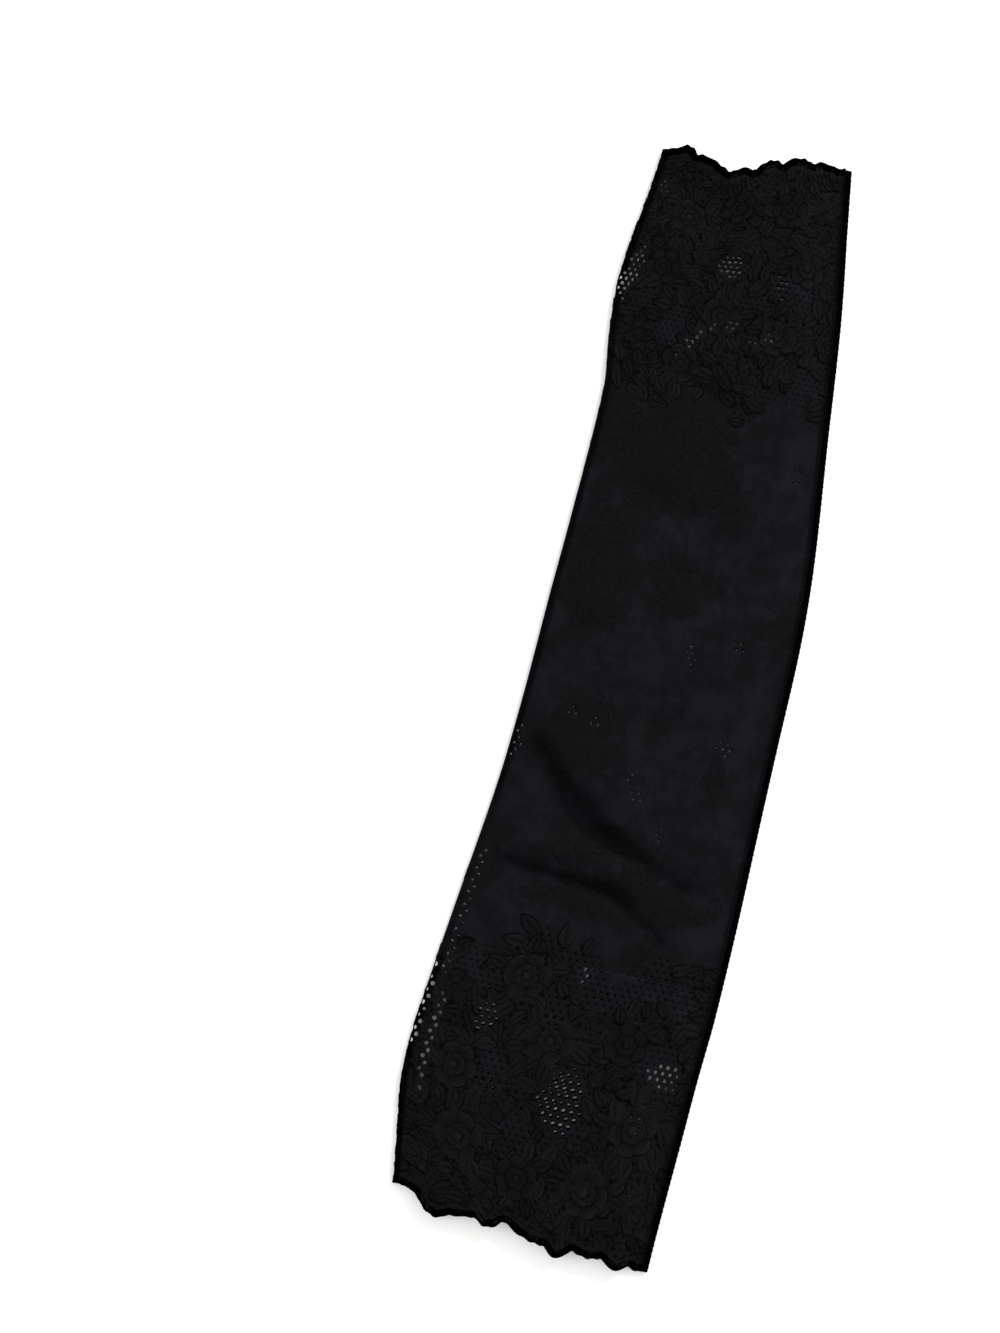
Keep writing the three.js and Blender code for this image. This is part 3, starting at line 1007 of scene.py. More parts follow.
@dataclass(frozen=True)
class FloralChart:
    """Where the figures and the open windows of the lace lie, as listed.

    A band of roses, blossoms and leaves runs along each hem, with close-worked petals over the rest
    of it, and looser patches of petals lie on the plain ground between. Figures are placed in units
    of the net's pitch, columns from the seam and pitches from the hem.

    Attributes:
        band_depth: how far each hem's band reaches.
        band_waves: the waves of the bands' inner edges.
        band_edge: where a band starts and ends to fade in, from its inner edge.
        leaves_round_rose, leaf_share: leaves round a rose, and their length in its radius.
        leaf_base, leaf_twist: where a leaf starts, in that radius, and how far it turns aside.
        petal_spacing, petal_length: the petals' spacing, and their least and greatest length.
        petal_stray, petal_twist: how far a petal may stray from its place and its line.
        petal_lines: the waves of the petals' lines, across and along the sleeve.
        middle_closeness: how closely the petals between the bands are worked.
        patch_edge: where a patch starts and ends to fade, in its half sizes.
        patch_lobes: count and share of the waves round a patch's edge.
        shown_from: how flowery the lace has to be where a figure stands.
        petal_start, petal_overrun: where a row of petals starts, and how far it runs past the fold.
        seed: what the petals' random places are drawn from.
    """

    band_depth: tuple = ((Hem.ARM, 37.0), (Hem.WRIST, 42.0))
    band_waves: tuple = (Wave(2.9, 2.2), Wave(1.3, 1.3, start=1.0))
    band_edge: tuple = (-1.0, 1.0)
    leaves_round_rose: int = 5
    leaf_share: float = 0.95
    leaf_base: float = 0.96
    leaf_twist: float = 0.25
    petal_spacing: float = 2.35
    petal_length: tuple = (2.3, 3.6)
    petal_stray: float = 0.7
    petal_twist: float = 0.6
    petal_lines: tuple = (Wave(7.0, 1.6), Wave(5.0, 1.3))
    middle_closeness: float = 0.5
    patch_edge: tuple = (0.5, 1.5)
    patch_lobes: tuple = ((3, 0.12), (5, 0.10))
    shown_from: float = 0.5
    petal_start: float = -0.5
    petal_overrun: float = 2.0
    seed: int = 11

    @property
    def length(self) -> float:
        """The sleeve's length from hem to hem in pitches."""
        return NET.rows * NET.row_share

    def depth(self, hem: Hem) -> float:
        """How far a hem's band reaches."""
        return dict(self.band_depth)[hem]

    def band_share(self, p: Array, q: Array) -> Array:
        """How far inside a band each place is, in pitches; its edge waves like the vines on it."""
        wave = sum(wave.at(p) for wave in self.band_waves)
        in_arm_band = self.depth(Hem.ARM) + wave - q
        in_wrist_band = self.depth(Hem.WRIST) - wave - (self.length - q)
        return np.maximum(in_arm_band, in_wrist_band)

    def band(self, hem: Hem) -> list[Figure]:
        """The figures of one hem's band, the flowers first and the leaves round them after."""
        flowers = [Figure(Motif.ROSE, *row) for row in ROSES]
        flowers += [Figure(Motif.BLOSSOM, *row) for row in BLOSSOMS]
        figures = list(flowers)
        for rose in flowers[: len(ROSES)]:
            for step in range(self.leaves_round_rose):
                turn = rose.turn + 2 * np.pi * (step + 0.5) / self.leaves_round_rose
                base = rose.size * self.leaf_base
                p = rose.p + base * math.cos(turn)
                q = rose.q + base * math.sin(turn)
                length = rose.size * self.leaf_share
                figures.append(Figure(Motif.LEAF, p, q, length, turn + self.leaf_twist))
        if hem is Hem.ARM:
            return figures
        stretch = self.depth(Hem.WRIST) / self.depth(Hem.ARM)
        return [Figure(f.kind, f.p, self.length - f.q * stretch, f.size, -f.turn) for f in figures]

    def within(self, patches: tuple, x: Array, y: Array) -> Array:
        """How far each place lies within any patch: 1 inside, easing to 0 past its ragged edge."""
        found = np.zeros(np.shape(x))
        for patch in patches:
            u = (x - patch.x) / patch.half_across
            v = (y - patch.y) / patch.half_along
            distance = ragged_distance(u, v, self.patch_lobes, (patch.x, patch.y))
            found = np.maximum(found, 1.0 - smooth_step(distance, *self.patch_edge))
        return found

    def flowery(self, p: Array, q: Array) -> Array:
        """How flowery the lace is, 0 to 1: the bands, less bare patches, and the flower patches."""
        y = NET.y_of(p, q / NET.row_share)
        x = SHAPE.flat_x(p, y)
        in_band = smooth_step(self.band_share(p, q), *self.band_edge)
        return np.where(
            in_band > 0.0,
            in_band * (1.0 - self.within(BARE_PATCHES, x, y)),
            self.within(FLOWER_PATCHES, x, y),
        )

    def close_petals(self) -> list[Figure]:
        """Petals laid close over the flowery stretches, along curving lines."""
        random = np.random.default_rng(self.seed)
        row_spacing = self.petal_spacing * NET.row_share
        columns = int((SHAPE.columns + self.petal_overrun) / self.petal_spacing) + 1
        across_line, along_line = self.petal_lines
        found = []
        for row in range(int(self.length / row_spacing)):
            p = (np.arange(columns) + 0.5 * (row % 2)) * self.petal_spacing + self.petal_start
            q = np.full(columns, row * row_spacing)
            p, q = (v + random.uniform(-self.petal_stray, self.petal_stray, columns) for v in (p, q))
            twist = random.uniform(-self.petal_twist, self.petal_twist, columns)
            turn = across_line.at(p) + along_line.at(q) + twist
            size = random.uniform(*self.petal_length, columns)
            closeness = np.where(self.band_share(p, q) > 0.0, 1.0, self.middle_closeness)
            for number in np.flatnonzero(self.flowery(p, q) > self.shown_from):
                places = (p[number], q[number], size[number], turn[number], closeness[number])
                found.append(Figure(Motif.LEAF, *places))
        return found

    def figures(self, layer: Layer) -> list[Figure]:
        """All the figures of one layer; the under layer's are the upper one's moved half a band."""
        found = self.band(Hem.ARM) + self.band(Hem.WRIST)
        if layer is Layer.UPPER:
            places = np.array([(figure.p, figure.q) for figure in found])
            shown = self.flowery(places[:, 0], places[:, 1]) > self.shown_from
            kept = [figure for figure, is_shown in zip(found, shown) if is_shown]
            return kept + self.close_petals()
        moved = []
        for figure in found:
            p = SHAPE.around - (figure.p + SHAPE.columns / 2) % SHAPE.columns
            moved.append(Figure(figure.kind, p, figure.q, figure.size, np.pi - figure.turn))
        return moved


CHART = FloralChart()


@dataclass(frozen=True)
class ClothChart:
    """What is worked at each place of one layer: its figures, its windows, and the painted shade laid
    on it.

    Attributes:
        layer: which layer.
        valley_shade_from, valley_shade_to, valley_shade_share: depths at which a valley's
            painted shade starts and ends to grow, and how dark it grows.
        fold_shade_width: how far in from the fold the painted shade along it reaches.
        fold_shade: places along the fold and the strength of its painted shade there.
        seam_width, seam_shade: how far in from the seam its painted shade reaches, and how strong.
        reach: how far from its middle a figure may reach, in its own size.
        window_lobes: count and share of the waves round a window's edge.
    """

    layer: Layer
    valley_shade_from: float = 0.4
    valley_shade_to: float = 1.5
    valley_shade_share: float = 0.4
    fold_shade_width: float = 1.6
    fold_shade: tuple = (
        (85.0, 1.0),
        (102.0, 0.35),
        (158.0, 0.35),
        (175.0, 0.7),
        (345.0, 0.7),
        (390.0, 1.0),
    )
    seam_width: float = 2.2
    seam_shade: float = 0.8
    reach: float = 1.08
    window_lobes: tuple = ((3, 0.08), (7, 0.08))

    @cached_property
    def figures(self) -> list[Figure]:
        """The layer's figures, the topmost first."""
        return CHART.figures(self.layer)

    @cached_property
    def windows(self) -> list[tuple[float, ...]]:
        """Each window's column, pitches from the hem, half sizes in pitches, hole radius and lean."""
        found = []
        for window in WINDOWS:
            y = np.array(window.y)
            pitch = float(SHAPE.pitch(y))
            across = float((window.x - SHAPE.fold_x(y)) / (SHAPE.seam_x(y) - SHAPE.fold_x(y)))
            p = SHAPE.columns * (1 - across)
            q = float(NET.row_of(y)) * NET.row_share
            if self.layer is Layer.UNDER:
                p = SHAPE.around - p
            half = (window.half_across / pitch, window.half_along / pitch)
            found.append((p, q, *half, window.hole, window.lean))
        return found

    def read(self, around: Array, row: Array) -> tuple[Array, Array]:
        """Reads the figures, of which an earlier one lies over a later one.

        Args:
            around: columns from the seam.
            row: rows from the arm hem.

        Returns:
            How closely worked each place is, 0 in the ground and 1 in a band's figures, and its
            relief from 0 to 1.
        """
        q = row * NET.row_share
        fill = np.zeros(len(around))
        relief = np.zeros(len(around))
        free = np.ones(len(around), bool)
        for figure in self.figures:
            reach = figure.size * self.reach
            is_near = (np.abs(around - figure.p) < reach) & (np.abs(q - figure.q) < reach)
            near = np.flatnonzero(free & is_near)
            depth = figure.inside(around[near], q[near])
            hit = near[depth > 0]
            fill[hit] = figure.closeness
            relief[hit] = figure.relief(around[hit], q[hit]) * figure.tone
            free[hit] = False
        return fill, relief

    def window_depth(self, p: Array, q: Array) -> tuple[Array, Array]:
        """Reads the windows: their edges are ragged, alike in both layers.

        Args:
            p: columns from the seam.
            q: pitches from the arm hem.

        Returns:
            How far inside a window each place is, above zero inside, and that window's hole radius.
        """
        depth = np.full(np.shape(p), -np.inf)
        hole = np.zeros(np.shape(p))
        outwards = -1.0 if self.layer is Layer.UNDER else 1.0
        for centre_p, centre_q, half_p, half_q, window_hole, lean in self.windows:
            u = (outwards * (p - centre_p) + lean * (q - centre_q)) / half_p
            v = (q - centre_q) / half_q
            inside = 1 - ragged_distance(u, v, self.window_lobes, (centre_q, 2 * centre_q))
            hole = np.where(inside > depth, window_hole, hole)
            depth = np.maximum(depth, inside)
        return depth, hole

    def painted_shade_at(self, around: Array, y: Array) -> Array:
        """Painted shade, 0 to 1: darkening painted into the valleys and creases, along the fold and at
        the seam.
        """
        x = SHAPE.flat_x(around, y)
        is_upper = around <= SHAPE.columns
        # Painted shade: valleys, the creases' bottom lines, the fold's edge and the seam's side are
        # painted darker.
        depth = -SHAPE.wrinkle_height(x, y)
        valley_shade = self.valley_shade_share * smooth_step(depth, self.valley_shade_from, self.valley_shade_to)
        crease_and_valley_shade = 1.0 - (1.0 - valley_shade) * (1.0 - SHAPE.crease_shade(x, y))
        fold_places, fold_slacks = zip(*self.fold_shade)
        fold_edge_shade = np.interp(y, fold_places, fold_slacks)
        fold_edge_shade = fold_edge_shade * (1.0 - smooth_step(x - SHAPE.fold_x(y), 0.0, self.fold_shade_width))
        seam_edge_shade = self.seam_shade * (1.0 - smooth_step(SHAPE.seam_x(y) - x, 0.0, self.seam_width))
        return np.maximum(crease_and_valley_shade * is_upper, np.maximum(fold_edge_shade, seam_edge_shade))


@dataclass(frozen=True)
class LaceZone:
    """One stretch of one layer of the lace, as a closed mesh of knitted meshes.

    Attributes:
        name, layer: the piece's name, and the layer that it is in.
        first_row, last_row: the rows that it holds.
        base_sink: how deep the cloth's face lies under the outside of the sleeve.
        thickness: from face to back in plain cloth.
        relief_height: how far the flowers' modelling stands up.
        ground_hole: radius of a hole in the bands' ground, in pitches.
        thread_round: how far a hole's rim falls away, so that the net looks threaded.
        outer_ring, inner_ring: the rings inside a worked mesh, as shares of the way out.
        column_drift, row_drift: how the net wanders off the even lattice, in columns and rows.
        under_columns, under_rows: how the under layer's net stands off the upper one's.
        calm: how far from the sides, in columns, and the hems, in rows, the wandering dies out.
        under_hole, largest_hole: how much wider the under layer's holes are, and the widest one.
        hole_stray, hole_bend: the wave in the radius of a window's holes, as a share of it, and the
            power of the row that bends the wave.
        whole_from: how far inside the sides the middle of a whole mesh lies, in columns.
        cut_samples: places at which the flat cut's width is taken.
    """

    name: str
    layer: Layer
    first_row: int
    last_row: int
    base_sink: float = 0.45
    thickness: float = 0.5
    relief_height: float = 0.4
    ground_hole: float = 0.12
    thread_round: float = 0.1
    outer_ring: float = 0.66
    inner_ring: float = 0.33
    column_drift: Wave = Wave(9.0, 0.16, bend=1.0, bend_length=5.0)
    row_drift: Wave = Wave(6.0, 0.20, bend=1.0, bend_length=11.0)
    under_columns: Wave = Wave(13.0, 0.24, lean=7.0)
    under_rows: Wave = Wave(8.0, 0.26, lean=-10.0, start=math.pi / 2)
    calm: tuple = (3.0, 6.0)
    under_hole: float = 1.55
    largest_hole: float = 0.38
    hole_stray: Wave = Wave(1 / 7.3, 0.22, lean=1 / 2.9)
    hole_bend: float = 1.5
    whole_from: float = 0.25
    cut_samples: int = 40

    def cell_centres(self) -> Array:
        """Middles of the meshes: every other row stands half a column over."""
        first, last = SHAPE.span(self.layer)
        rows = []
        for row in range(self.first_row, self.last_row):
            shift = 0.5 if row % 2 == 0 else 0.0
            columns = np.arange(first, last + (1 if shift == 0.0 else 0)) + shift
            rows.append(np.stack([columns, np.full(len(columns), row + 0.5)], axis=1))
        return np.concatenate(rows)

    def cell_rims(self, centres: Array) -> Array:
        """Twelve places round each mesh: its six corners and the middles of its six sides.

        They run anticlockwise as seen from outside the sleeve, and stop at the layer's sides.
        """
        right = np.array([[0, 2 / 3], [0.5, 1 / 3], [0.5, -1 / 3]])
        corners = np.concatenate([right, -right])
        middles = (corners + np.roll(corners, -1, axis=0)) / 2
        steps = np.stack([corners, middles], axis=1).reshape(12, 2)
        rims = centres[:, None, :] + steps[None, :, :]
        first, last = SHAPE.span(self.layer)
        rims[..., 0] = np.clip(rims[..., 0], first, last)
        return rims

    def sort_cells(
        self, chart: ClothChart, centres: Array, middles: Array
    ) -> tuple[Array, Array, Array]:
        """Says what is worked in each mesh.

        Args:
            chart: what is worked in this layer.
            centres, middles: the meshes' middles, before and after they are cut at the sides.

        Returns:
            Whether each mesh is open, the radius of its hole, and whether it is worked in relief.
        """
        first, last = SHAPE.span(self.layer)
        is_upper = self.layer is Layer.UPPER
        column, row = middles.T
        fill, _ = chart.read(column, row)
        depth, hole = chart.window_depth(column, row * NET.row_share)
        hole = hole * (1.0 + self.hole_stray.at(column, row**self.hole_bend))
        from_side = np.minimum(centres[:, 0] - first, last - centres[:, 0])
        is_whole = from_side > self.whole_from
        is_window = is_whole & (depth > 0.0)
        in_band = CHART.band_share(column, row * NET.row_share) > 0.0
        is_ground = is_whole & (fill == 0.0) & ~is_window & is_upper & in_band
        is_open = is_window | is_ground
        if not is_upper:
            hole = np.minimum(hole * self.under_hole, self.largest_hole)
        return is_open, np.where(is_window, hole, self.ground_hole), ~is_open & (fill > 0.0) & is_upper

    def build(self, chart: ClothChart, material: Material) -> Piece:
        """Makes the piece.

        An open mesh is a ring round its hole, a worked one has two more rings inside its rim, and a
        plain one is a fan; the backs of worked and plain meshes are plain fans. A rim's place belongs
        to every mesh that meets there, found by its key in thousandths of a step.

        Args:
            chart: what is worked in this layer.
            material: what it is dressed in.

        Returns:
            The piece, with the net as its UV map and the values "worked", "relief" and "flowery",
            and one for its painted shade: how closely it is worked, how high it stands, how flowery
            it is, and how dark its painted shade is.
        """
        centres = self.cell_centres()
        rims = self.cell_rims(centres)
        middles = rims.mean(axis=1)
        steps = np.round(rims.reshape(-1, 2) * KEY_STEPS).astype(np.int64)
        keys = steps @ np.array([KEY_SPAN, 1])
        _, where, inverse = np.unique(keys, return_index=True, return_inverse=True)
        rim_index = inverse.reshape(-1, 12)
        is_open, hole, is_worked = self.sort_cells(chart, centres, middles)
        open_cells = np.flatnonzero(is_open)
        worked_cells = np.flatnonzero(is_worked)
        closed_cells = np.concatenate([worked_cells, np.flatnonzero(~is_open & ~is_worked)])

        spokes = rims - middles[:, None, :]
        reach = np.linalg.norm(spokes * np.array([1.0, NET.row_share]), axis=2, keepdims=True)
        holes = middles[:, None, :] + spokes * (hole[:, None, None] / np.maximum(reach, TINY))
        outer = middles[:, None, :] + spokes * self.outer_ring
        inner = middles[:, None, :] + spokes[:, ::2] * self.inner_ring
        groups = [
            rims.reshape(-1, 2)[where],
            holes[open_cells].reshape(-1, 2),
            middles[closed_cells],
            outer[worked_cells].reshape(-1, 2),
            inner[worked_cells].reshape(-1, 2),
        ]
        starts = np.cumsum([0] + [len(group) for group in groups])
        places = np.concatenate(groups)
        hole_index = np.arange(starts[1], starts[2]).reshape(-1, 12)
        heart_index = np.arange(starts[2], starts[3])
        outer_index = np.arange(starts[3], starts[4]).reshape(-1, 12)
        inner_index = np.arange(starts[4], starts[5]).reshape(-1, 6)
        worked = len(worked_cells)
        shared = starts[3]

        open_faces = self.ring_faces(rim_index[open_cells], hole_index)
        plain_faces = self.fan_faces(rim_index[closed_cells[worked:]], heart_index[worked:])
        front = [
            open_faces,
            plain_faces,
            self.ring_faces(rim_index[worked_cells], outer_index),
            self.ring_faces_twelve_to_six(outer_index, inner_index),
            self.fan_faces(inner_index, heart_index[:worked]),
        ]
        worked_backs = self.fan_faces(rim_index[worked_cells], heart_index[:worked])
        back = np.concatenate([open_faces, plain_faces, worked_backs])[:, ::-1] + len(places)

        edge_from = rim_index.ravel()
        edge_to = np.roll(rim_index, -1, axis=1).ravel()
        forward = edge_from * len(places) + edge_to
        outline = ~np.isin(forward, edge_to * len(places) + edge_from)
        hole_next = np.roll(hole_index, -1, axis=1)
        hole_walls = self.wall_faces(hole_index.ravel(), hole_next.ravel(), len(places))
        side_walls = self.wall_faces(edge_to[outline], edge_from[outline], len(places))
        faces = np.concatenate([*front, back, hole_walls, side_walls])

        fill, relief = chart.read(places[:, 0], places[:, 1])
        flowery = CHART.flowery(places[:, 0], places[:, 1] * NET.row_share)
        number = np.arange(len(places))
        rounded = self.thread_round * ((number >= starts[1]) & (number < starts[2]))
        drifted = places + self.drift(places)
        face = NET.points(*drifted.T, self.base_sink - self.relief_height * fill * relief + rounded)
        back_sink = self.base_sink + self.thickness - rounded[:shared]
        points = np.concatenate([face, NET.points(*drifted[:shared].T, back_sink)])
        flat_from = len(faces) - len(side_walls)
        piece = new_object(self.name, points, faces, material, flat_from)
        both = np.concatenate([number, number[:shared]])
        add_uv(piece, (places * np.array([1.0, NET.row_share]))[both])
        # Painted shade: darker in the valleys and creases, along the fold and beside the seam.
        painted_shade = chart.painted_shade_at(places[:, 0], NET.y_of(*places.T))
        values = {"worked": fill, "relief": fill * relief, "flowery": flowery, "painted_shade": painted_shade}
        for name, value in values.items():
            add_value(piece, name, value[both])
        return piece

    def drift(self, places: Array) -> Array:
        """How far the knitting wanders off the even lattice, in columns and rows.

        The layers wander alike but for a slow shift between them, so that their nets cross in a
        soft moire; the wandering dies out at the seam, the fold and the hems.
        """
        first, last = SHAPE.span(self.layer)
        is_under = self.layer is Layer.UNDER
        column, row = places.T
        from_side = smooth_step(np.minimum(column - first, last - column), 0.0, self.calm[0])
        from_hem = smooth_step(np.minimum(row, NET.rows - row), 0.0, self.calm[1])
        if is_under:
            column = SHAPE.around - column
        columns = self.column_drift.at(row, column)
        rows = self.row_drift.at(column, row)
        if is_under:
            columns = self.under_columns.at(row, column) - columns
            rows = self.under_rows.at(column, row) + rows
        return np.stack([columns, rows], axis=1) * (from_side * from_hem)[:, None]

    @staticmethod
    def ring_faces(outer: Array, inner: Array) -> Array:
        """Triangles between two rings of equal count, one pair of rings for each mesh."""
        outer_next = np.roll(outer, -1, axis=1)
        inner_next = np.roll(inner, -1, axis=1)
        first = np.stack([outer, outer_next, inner_next], axis=2)
        second = np.stack([outer, inner_next, inner], axis=2)
        return np.concatenate([first.reshape(-1, 3), second.reshape(-1, 3)])

    @staticmethod
    def ring_faces_twelve_to_six(outer: Array, inner: Array) -> Array:
        """Triangles between a ring of twelve and a ring of six that stands at its corners."""
        corner = outer[:, 0::2]
        middle = outer[:, 1::2]
        corner_next = np.roll(corner, -1, axis=1)
        inner_next = np.roll(inner, -1, axis=1)
        parts = [
            np.stack([corner, middle, inner], axis=2),
            np.stack([middle, inner_next, inner], axis=2),
            np.stack([middle, corner_next, inner_next], axis=2),
        ]
        return np.concatenate([part.reshape(-1, 3) for part in parts])

    @staticmethod
    def fan_faces(rim: Array, heart: Array) -> Array:
        """Triangles from each rim to its middle."""
        rim_next = np.roll(rim, -1, axis=1)
        hearts = np.broadcast_to(heart[:, None], rim.shape)
        return np.stack([rim, rim_next, hearts], axis=2).reshape(-1, 3)

    @staticmethod
    def wall_faces(start: Array, end: Array, to_back: int) -> Array:
        """Triangles from an edge of the face to the same edge of the back."""
        return np.concatenate([
            np.stack([start, end, end + to_back], 1),
            np.stack([start, end + to_back, start + to_back], 1),
        ])

    def flat_cut(self) -> tuple[float, float, float]:
        """Width, length and area of the flat cut, in metres."""
        places, counts = NET.row_places
        start, end = np.interp([self.first_row, self.last_row], counts, places)
        y = np.linspace(start, end, self.cut_samples)
        first, last = SHAPE.span(self.layer)
        widths = SHAPE.pitch(y) * (last - first)
        return widths.max() * MM, (end - start) * MM, widths.mean() * (end - start) * MM * MM


@dataclass(frozen=True)
class OutlineThread:
    """The cordonnet: a heavier thread laid round every petal and leaf of one layer.

    Attributes:
        chart: what is worked in the layer.
        in_bands: whether it is the thread of the bands, or of the patches between them.
        radius: the thread's radius where the lace is worked closest.
        sink: how deep its middle lies under the outside of the sleeve.
        sides: how many sides its profile has.
        side_margin, hem_margin: how far it stays off the sides, in columns, and the hems, in rows.
        reach: how far a figure may reach, in its own size.
        fewest_steps: the shortest stretch that is laid.
    """

    chart: ClothChart
    in_bands: bool = True
    radius: float = 0.3
    sink: float = 0.36
    sides: int = 4
    side_margin: float = 0.3
    hem_margin: float = 1.2
    reach: float = 1.1
    fewest_steps: int = 4

    def build(self, name: str, material: Material) -> Piece:
        """Lays the threads: each outline is cut where an earlier figure or a window covers it."""
        figures = self.chart.figures
        low, high = SHAPE.span(self.chart.layer)
        tubes = Tubes(self.sides)
        centres = np.array([(figure.p, figure.q, figure.size) for figure in figures])
        for number, figure in enumerate(figures):
            if (figure.closeness == 1.0) != self.in_bands:
                continue
            gaps = np.hypot(centres[:number, 0] - figure.p, centres[:number, 1] - figure.q)
            covers = np.flatnonzero(gaps < self.reach * (centres[:number, 2] + figure.size))
            for p, q, closed in figure.outlines():
                row = q / NET.row_share
                shown = (p > low + self.side_margin) & (p < high - self.side_margin)
                shown &= (row > self.hem_margin) & (row < NET.rows - self.hem_margin)
                shown &= self.chart.window_depth(p, q)[0] < 0.0
                for cover in covers:
                    shown &= figures[cover].inside(p, q) < 0.0
                self.lay(tubes, p, row, shown, closed, self.radius * figure.closeness)
        return tubes.make(name, material)

    def lay(
        self, tubes: Tubes, p: Array, row: Array, shown: Array, closed: bool, radius: float
    ) -> None:
        """Adds the stretches of one outline that show; whole ones stay closed."""
        if shown.all():
            self.lay_run(tubes, p, row, closed, radius)
            return
        if closed and shown.any():
            start = int(np.flatnonzero(~shown)[0])
            p, row, shown = (np.roll(values, -start) for values in (p, row, shown))
        edges = np.flatnonzero(np.diff(np.concatenate([[0], shown.astype(int), [0]])))
        for start, end in zip(edges[::2], edges[1::2]):
            if end - start >= self.fewest_steps:
                self.lay_run(tubes, p[start:end], row[start:end], False, radius)

    def lay_run(self, tubes: Tubes, p: Array, row: Array, closed: bool, radius: float) -> None:
        """Adds one unbroken stretch, half sunk in the cloth."""
        path = NET.points(p, row, self.sink)
        out = unit(NET.points(p, row, self.sink - 1.0) - path)
        tubes.add(path, out, radius * MM, closed, self.chart.painted_shade_at(p, NET.y_of(p, row)))


@dataclass(frozen=True)
class ScallopBorder:
    """The corded border round one mouth: a twisted edge cord, a satin band and an inner cord.

    Attributes:
        hem: which mouth.
        step: distance between two sections along the hem.
        cord_radius: radius of the twisted cord on the edge.
        twist, ply_swell: length of one turn of its two plies, and how far they swell its radius.
        band_from, band_to: how far in from the edge the band reaches.
        band_thickness, band_roundness: its full thickness, and the power that rounds it.
        stitch, stitch_swell: distance between two satin stitches, and how far each swells.
        inner_radius, inner_lift: the inner cord's radius, and how far it stands above the middle.
        centre_sink: how deep the border's middle lies under the outside of the sleeve.
        frill: how the edge ripples between its scallops, in columns of net.
        samples, smoothing: places at which the hem's line is taken, and how many soften it.
        cord_sides, band_sides: sides of the cords' and the band's profiles.
    """

    hem: Hem
    step: float = 0.42
    cord_radius: float = 0.62
    twist: float = 2.6
    ply_swell: float = 0.10
    band_from: float = 0.5
    band_to: float = 2.5
    band_thickness: float = 0.8
    band_roundness: float = 0.7
    stitch: float = 1.05
    stitch_swell: float = 0.10
    inner_radius: float = 0.36
    inner_lift: float = 0.22
    centre_sink: float = 0.69
    frill: Wave = Wave(1 / 2.9, 0.28, bend=1.6, bend_length=1.25)
    samples: int = 900
    smoothing: int = 9
    cord_sides: int = 8
    band_sides: int = 10

    def edge(self) -> tuple[Array, Array, Array, float]:
        """The hem's line round the mouth.

        Returns:
            The column, the place along the sleeve and the length so far at each step, and the
            net's pitch at the hem.
        """
        coarse = np.linspace(0.0, SHAPE.around, self.samples)
        y = SHAPE.hem_edge(self.hem, coarse)
        pitch = float(SHAPE.pitch(np.array(SHAPE.hem_place(self.hem))))
        kernel = np.hanning(self.smoothing)
        padded = np.pad(y, self.smoothing // 2, mode="edge")
        y = np.convolve(padded, kernel / kernel.sum(), mode="valid") + self.frill.at(coarse, coarse)
        length = np.concatenate([[0.0], np.cumsum(np.hypot(np.diff(coarse) * pitch, np.diff(y)))])
        even = np.linspace(0.0, length[-1], int(length[-1] / self.step))
        return np.interp(even, length, coarse), np.interp(even, length, y), even, pitch

    def inset(self, distance: float) -> tuple[Array, Array]:
        """The hem's line moved square inwards by a distance, in the unrolled cloth."""
        around, y, _, pitch = self.edge()
        slope_s = np.gradient(around * pitch)
        slope_y = np.gradient(y)
        size = np.hypot(slope_s, slope_y)
        moved = self.hem.inwards * distance / size
        return around - moved * slope_y / pitch, y + moved * slope_s

    def cloth_points(self, distance: float, sink: Array | float) -> Array:
        """Points of the hem's line moved inwards by a distance and sunk into the cloth, in metres."""
        around, y = self.inset(distance)
        return SHAPE.to_metres(SHAPE.outside(np.clip(around, 0.0, SHAPE.around), y, sink))

    def build_cords(self, name: str, material: Material) -> Piece:
        """The two cords: the outer one's radius swells twice a turn as its plies come round."""
        length = self.edge()[2]
        plies = 1.0 + self.ply_swell * np.cos(4 * np.pi * length / self.twist)
        cords = (
            (self.cord_radius, self.centre_sink, self.cord_radius * plies),
            (self.band_to, self.centre_sink - self.inner_lift, self.inner_radius),
        )
        tubes = Tubes(self.cord_sides)
        for distance, sink, radius in cords:
            path = self.cloth_points(distance, sink)
            out = unit(self.cloth_points(distance, sink - 1.0) - path)
            tubes.add(path, out, radius * MM, False)
        return tubes.make(name, material)

    def build_band(self, name: str, material: Material) -> Piece:
        """The satin-stitched band: a flat loop section whose face swells over each stitch."""
        length = self.edge()[2]
        swell = self.stitch_swell * np.abs(np.sin(np.pi * length / self.stitch))
        middle = (self.band_from + self.band_to) / 2
        half = (self.band_to - self.band_from) / 2
        angle = np.arange(self.band_sides) * 2 * np.pi / self.band_sides
        lifts = rounded_power(np.sin(angle), self.band_roundness)
        rings = []
        for turn, lift in zip(angle, lifts):
            sink = self.centre_sink - lift * (self.band_thickness / 2 + swell)
            rings.append(self.cloth_points(middle - half * math.cos(turn), sink))
        points = np.stack(rings, axis=1)
        faces = tube_faces(*points.shape[:2], closed=False)
        if self.hem is Hem.WRIST:
            faces = faces[:, ::-1]
        piece = new_object(name, points.reshape(-1, 3), faces, material)
        add_tube_uv(piece, len(length), self.band_sides, length)
        return piece


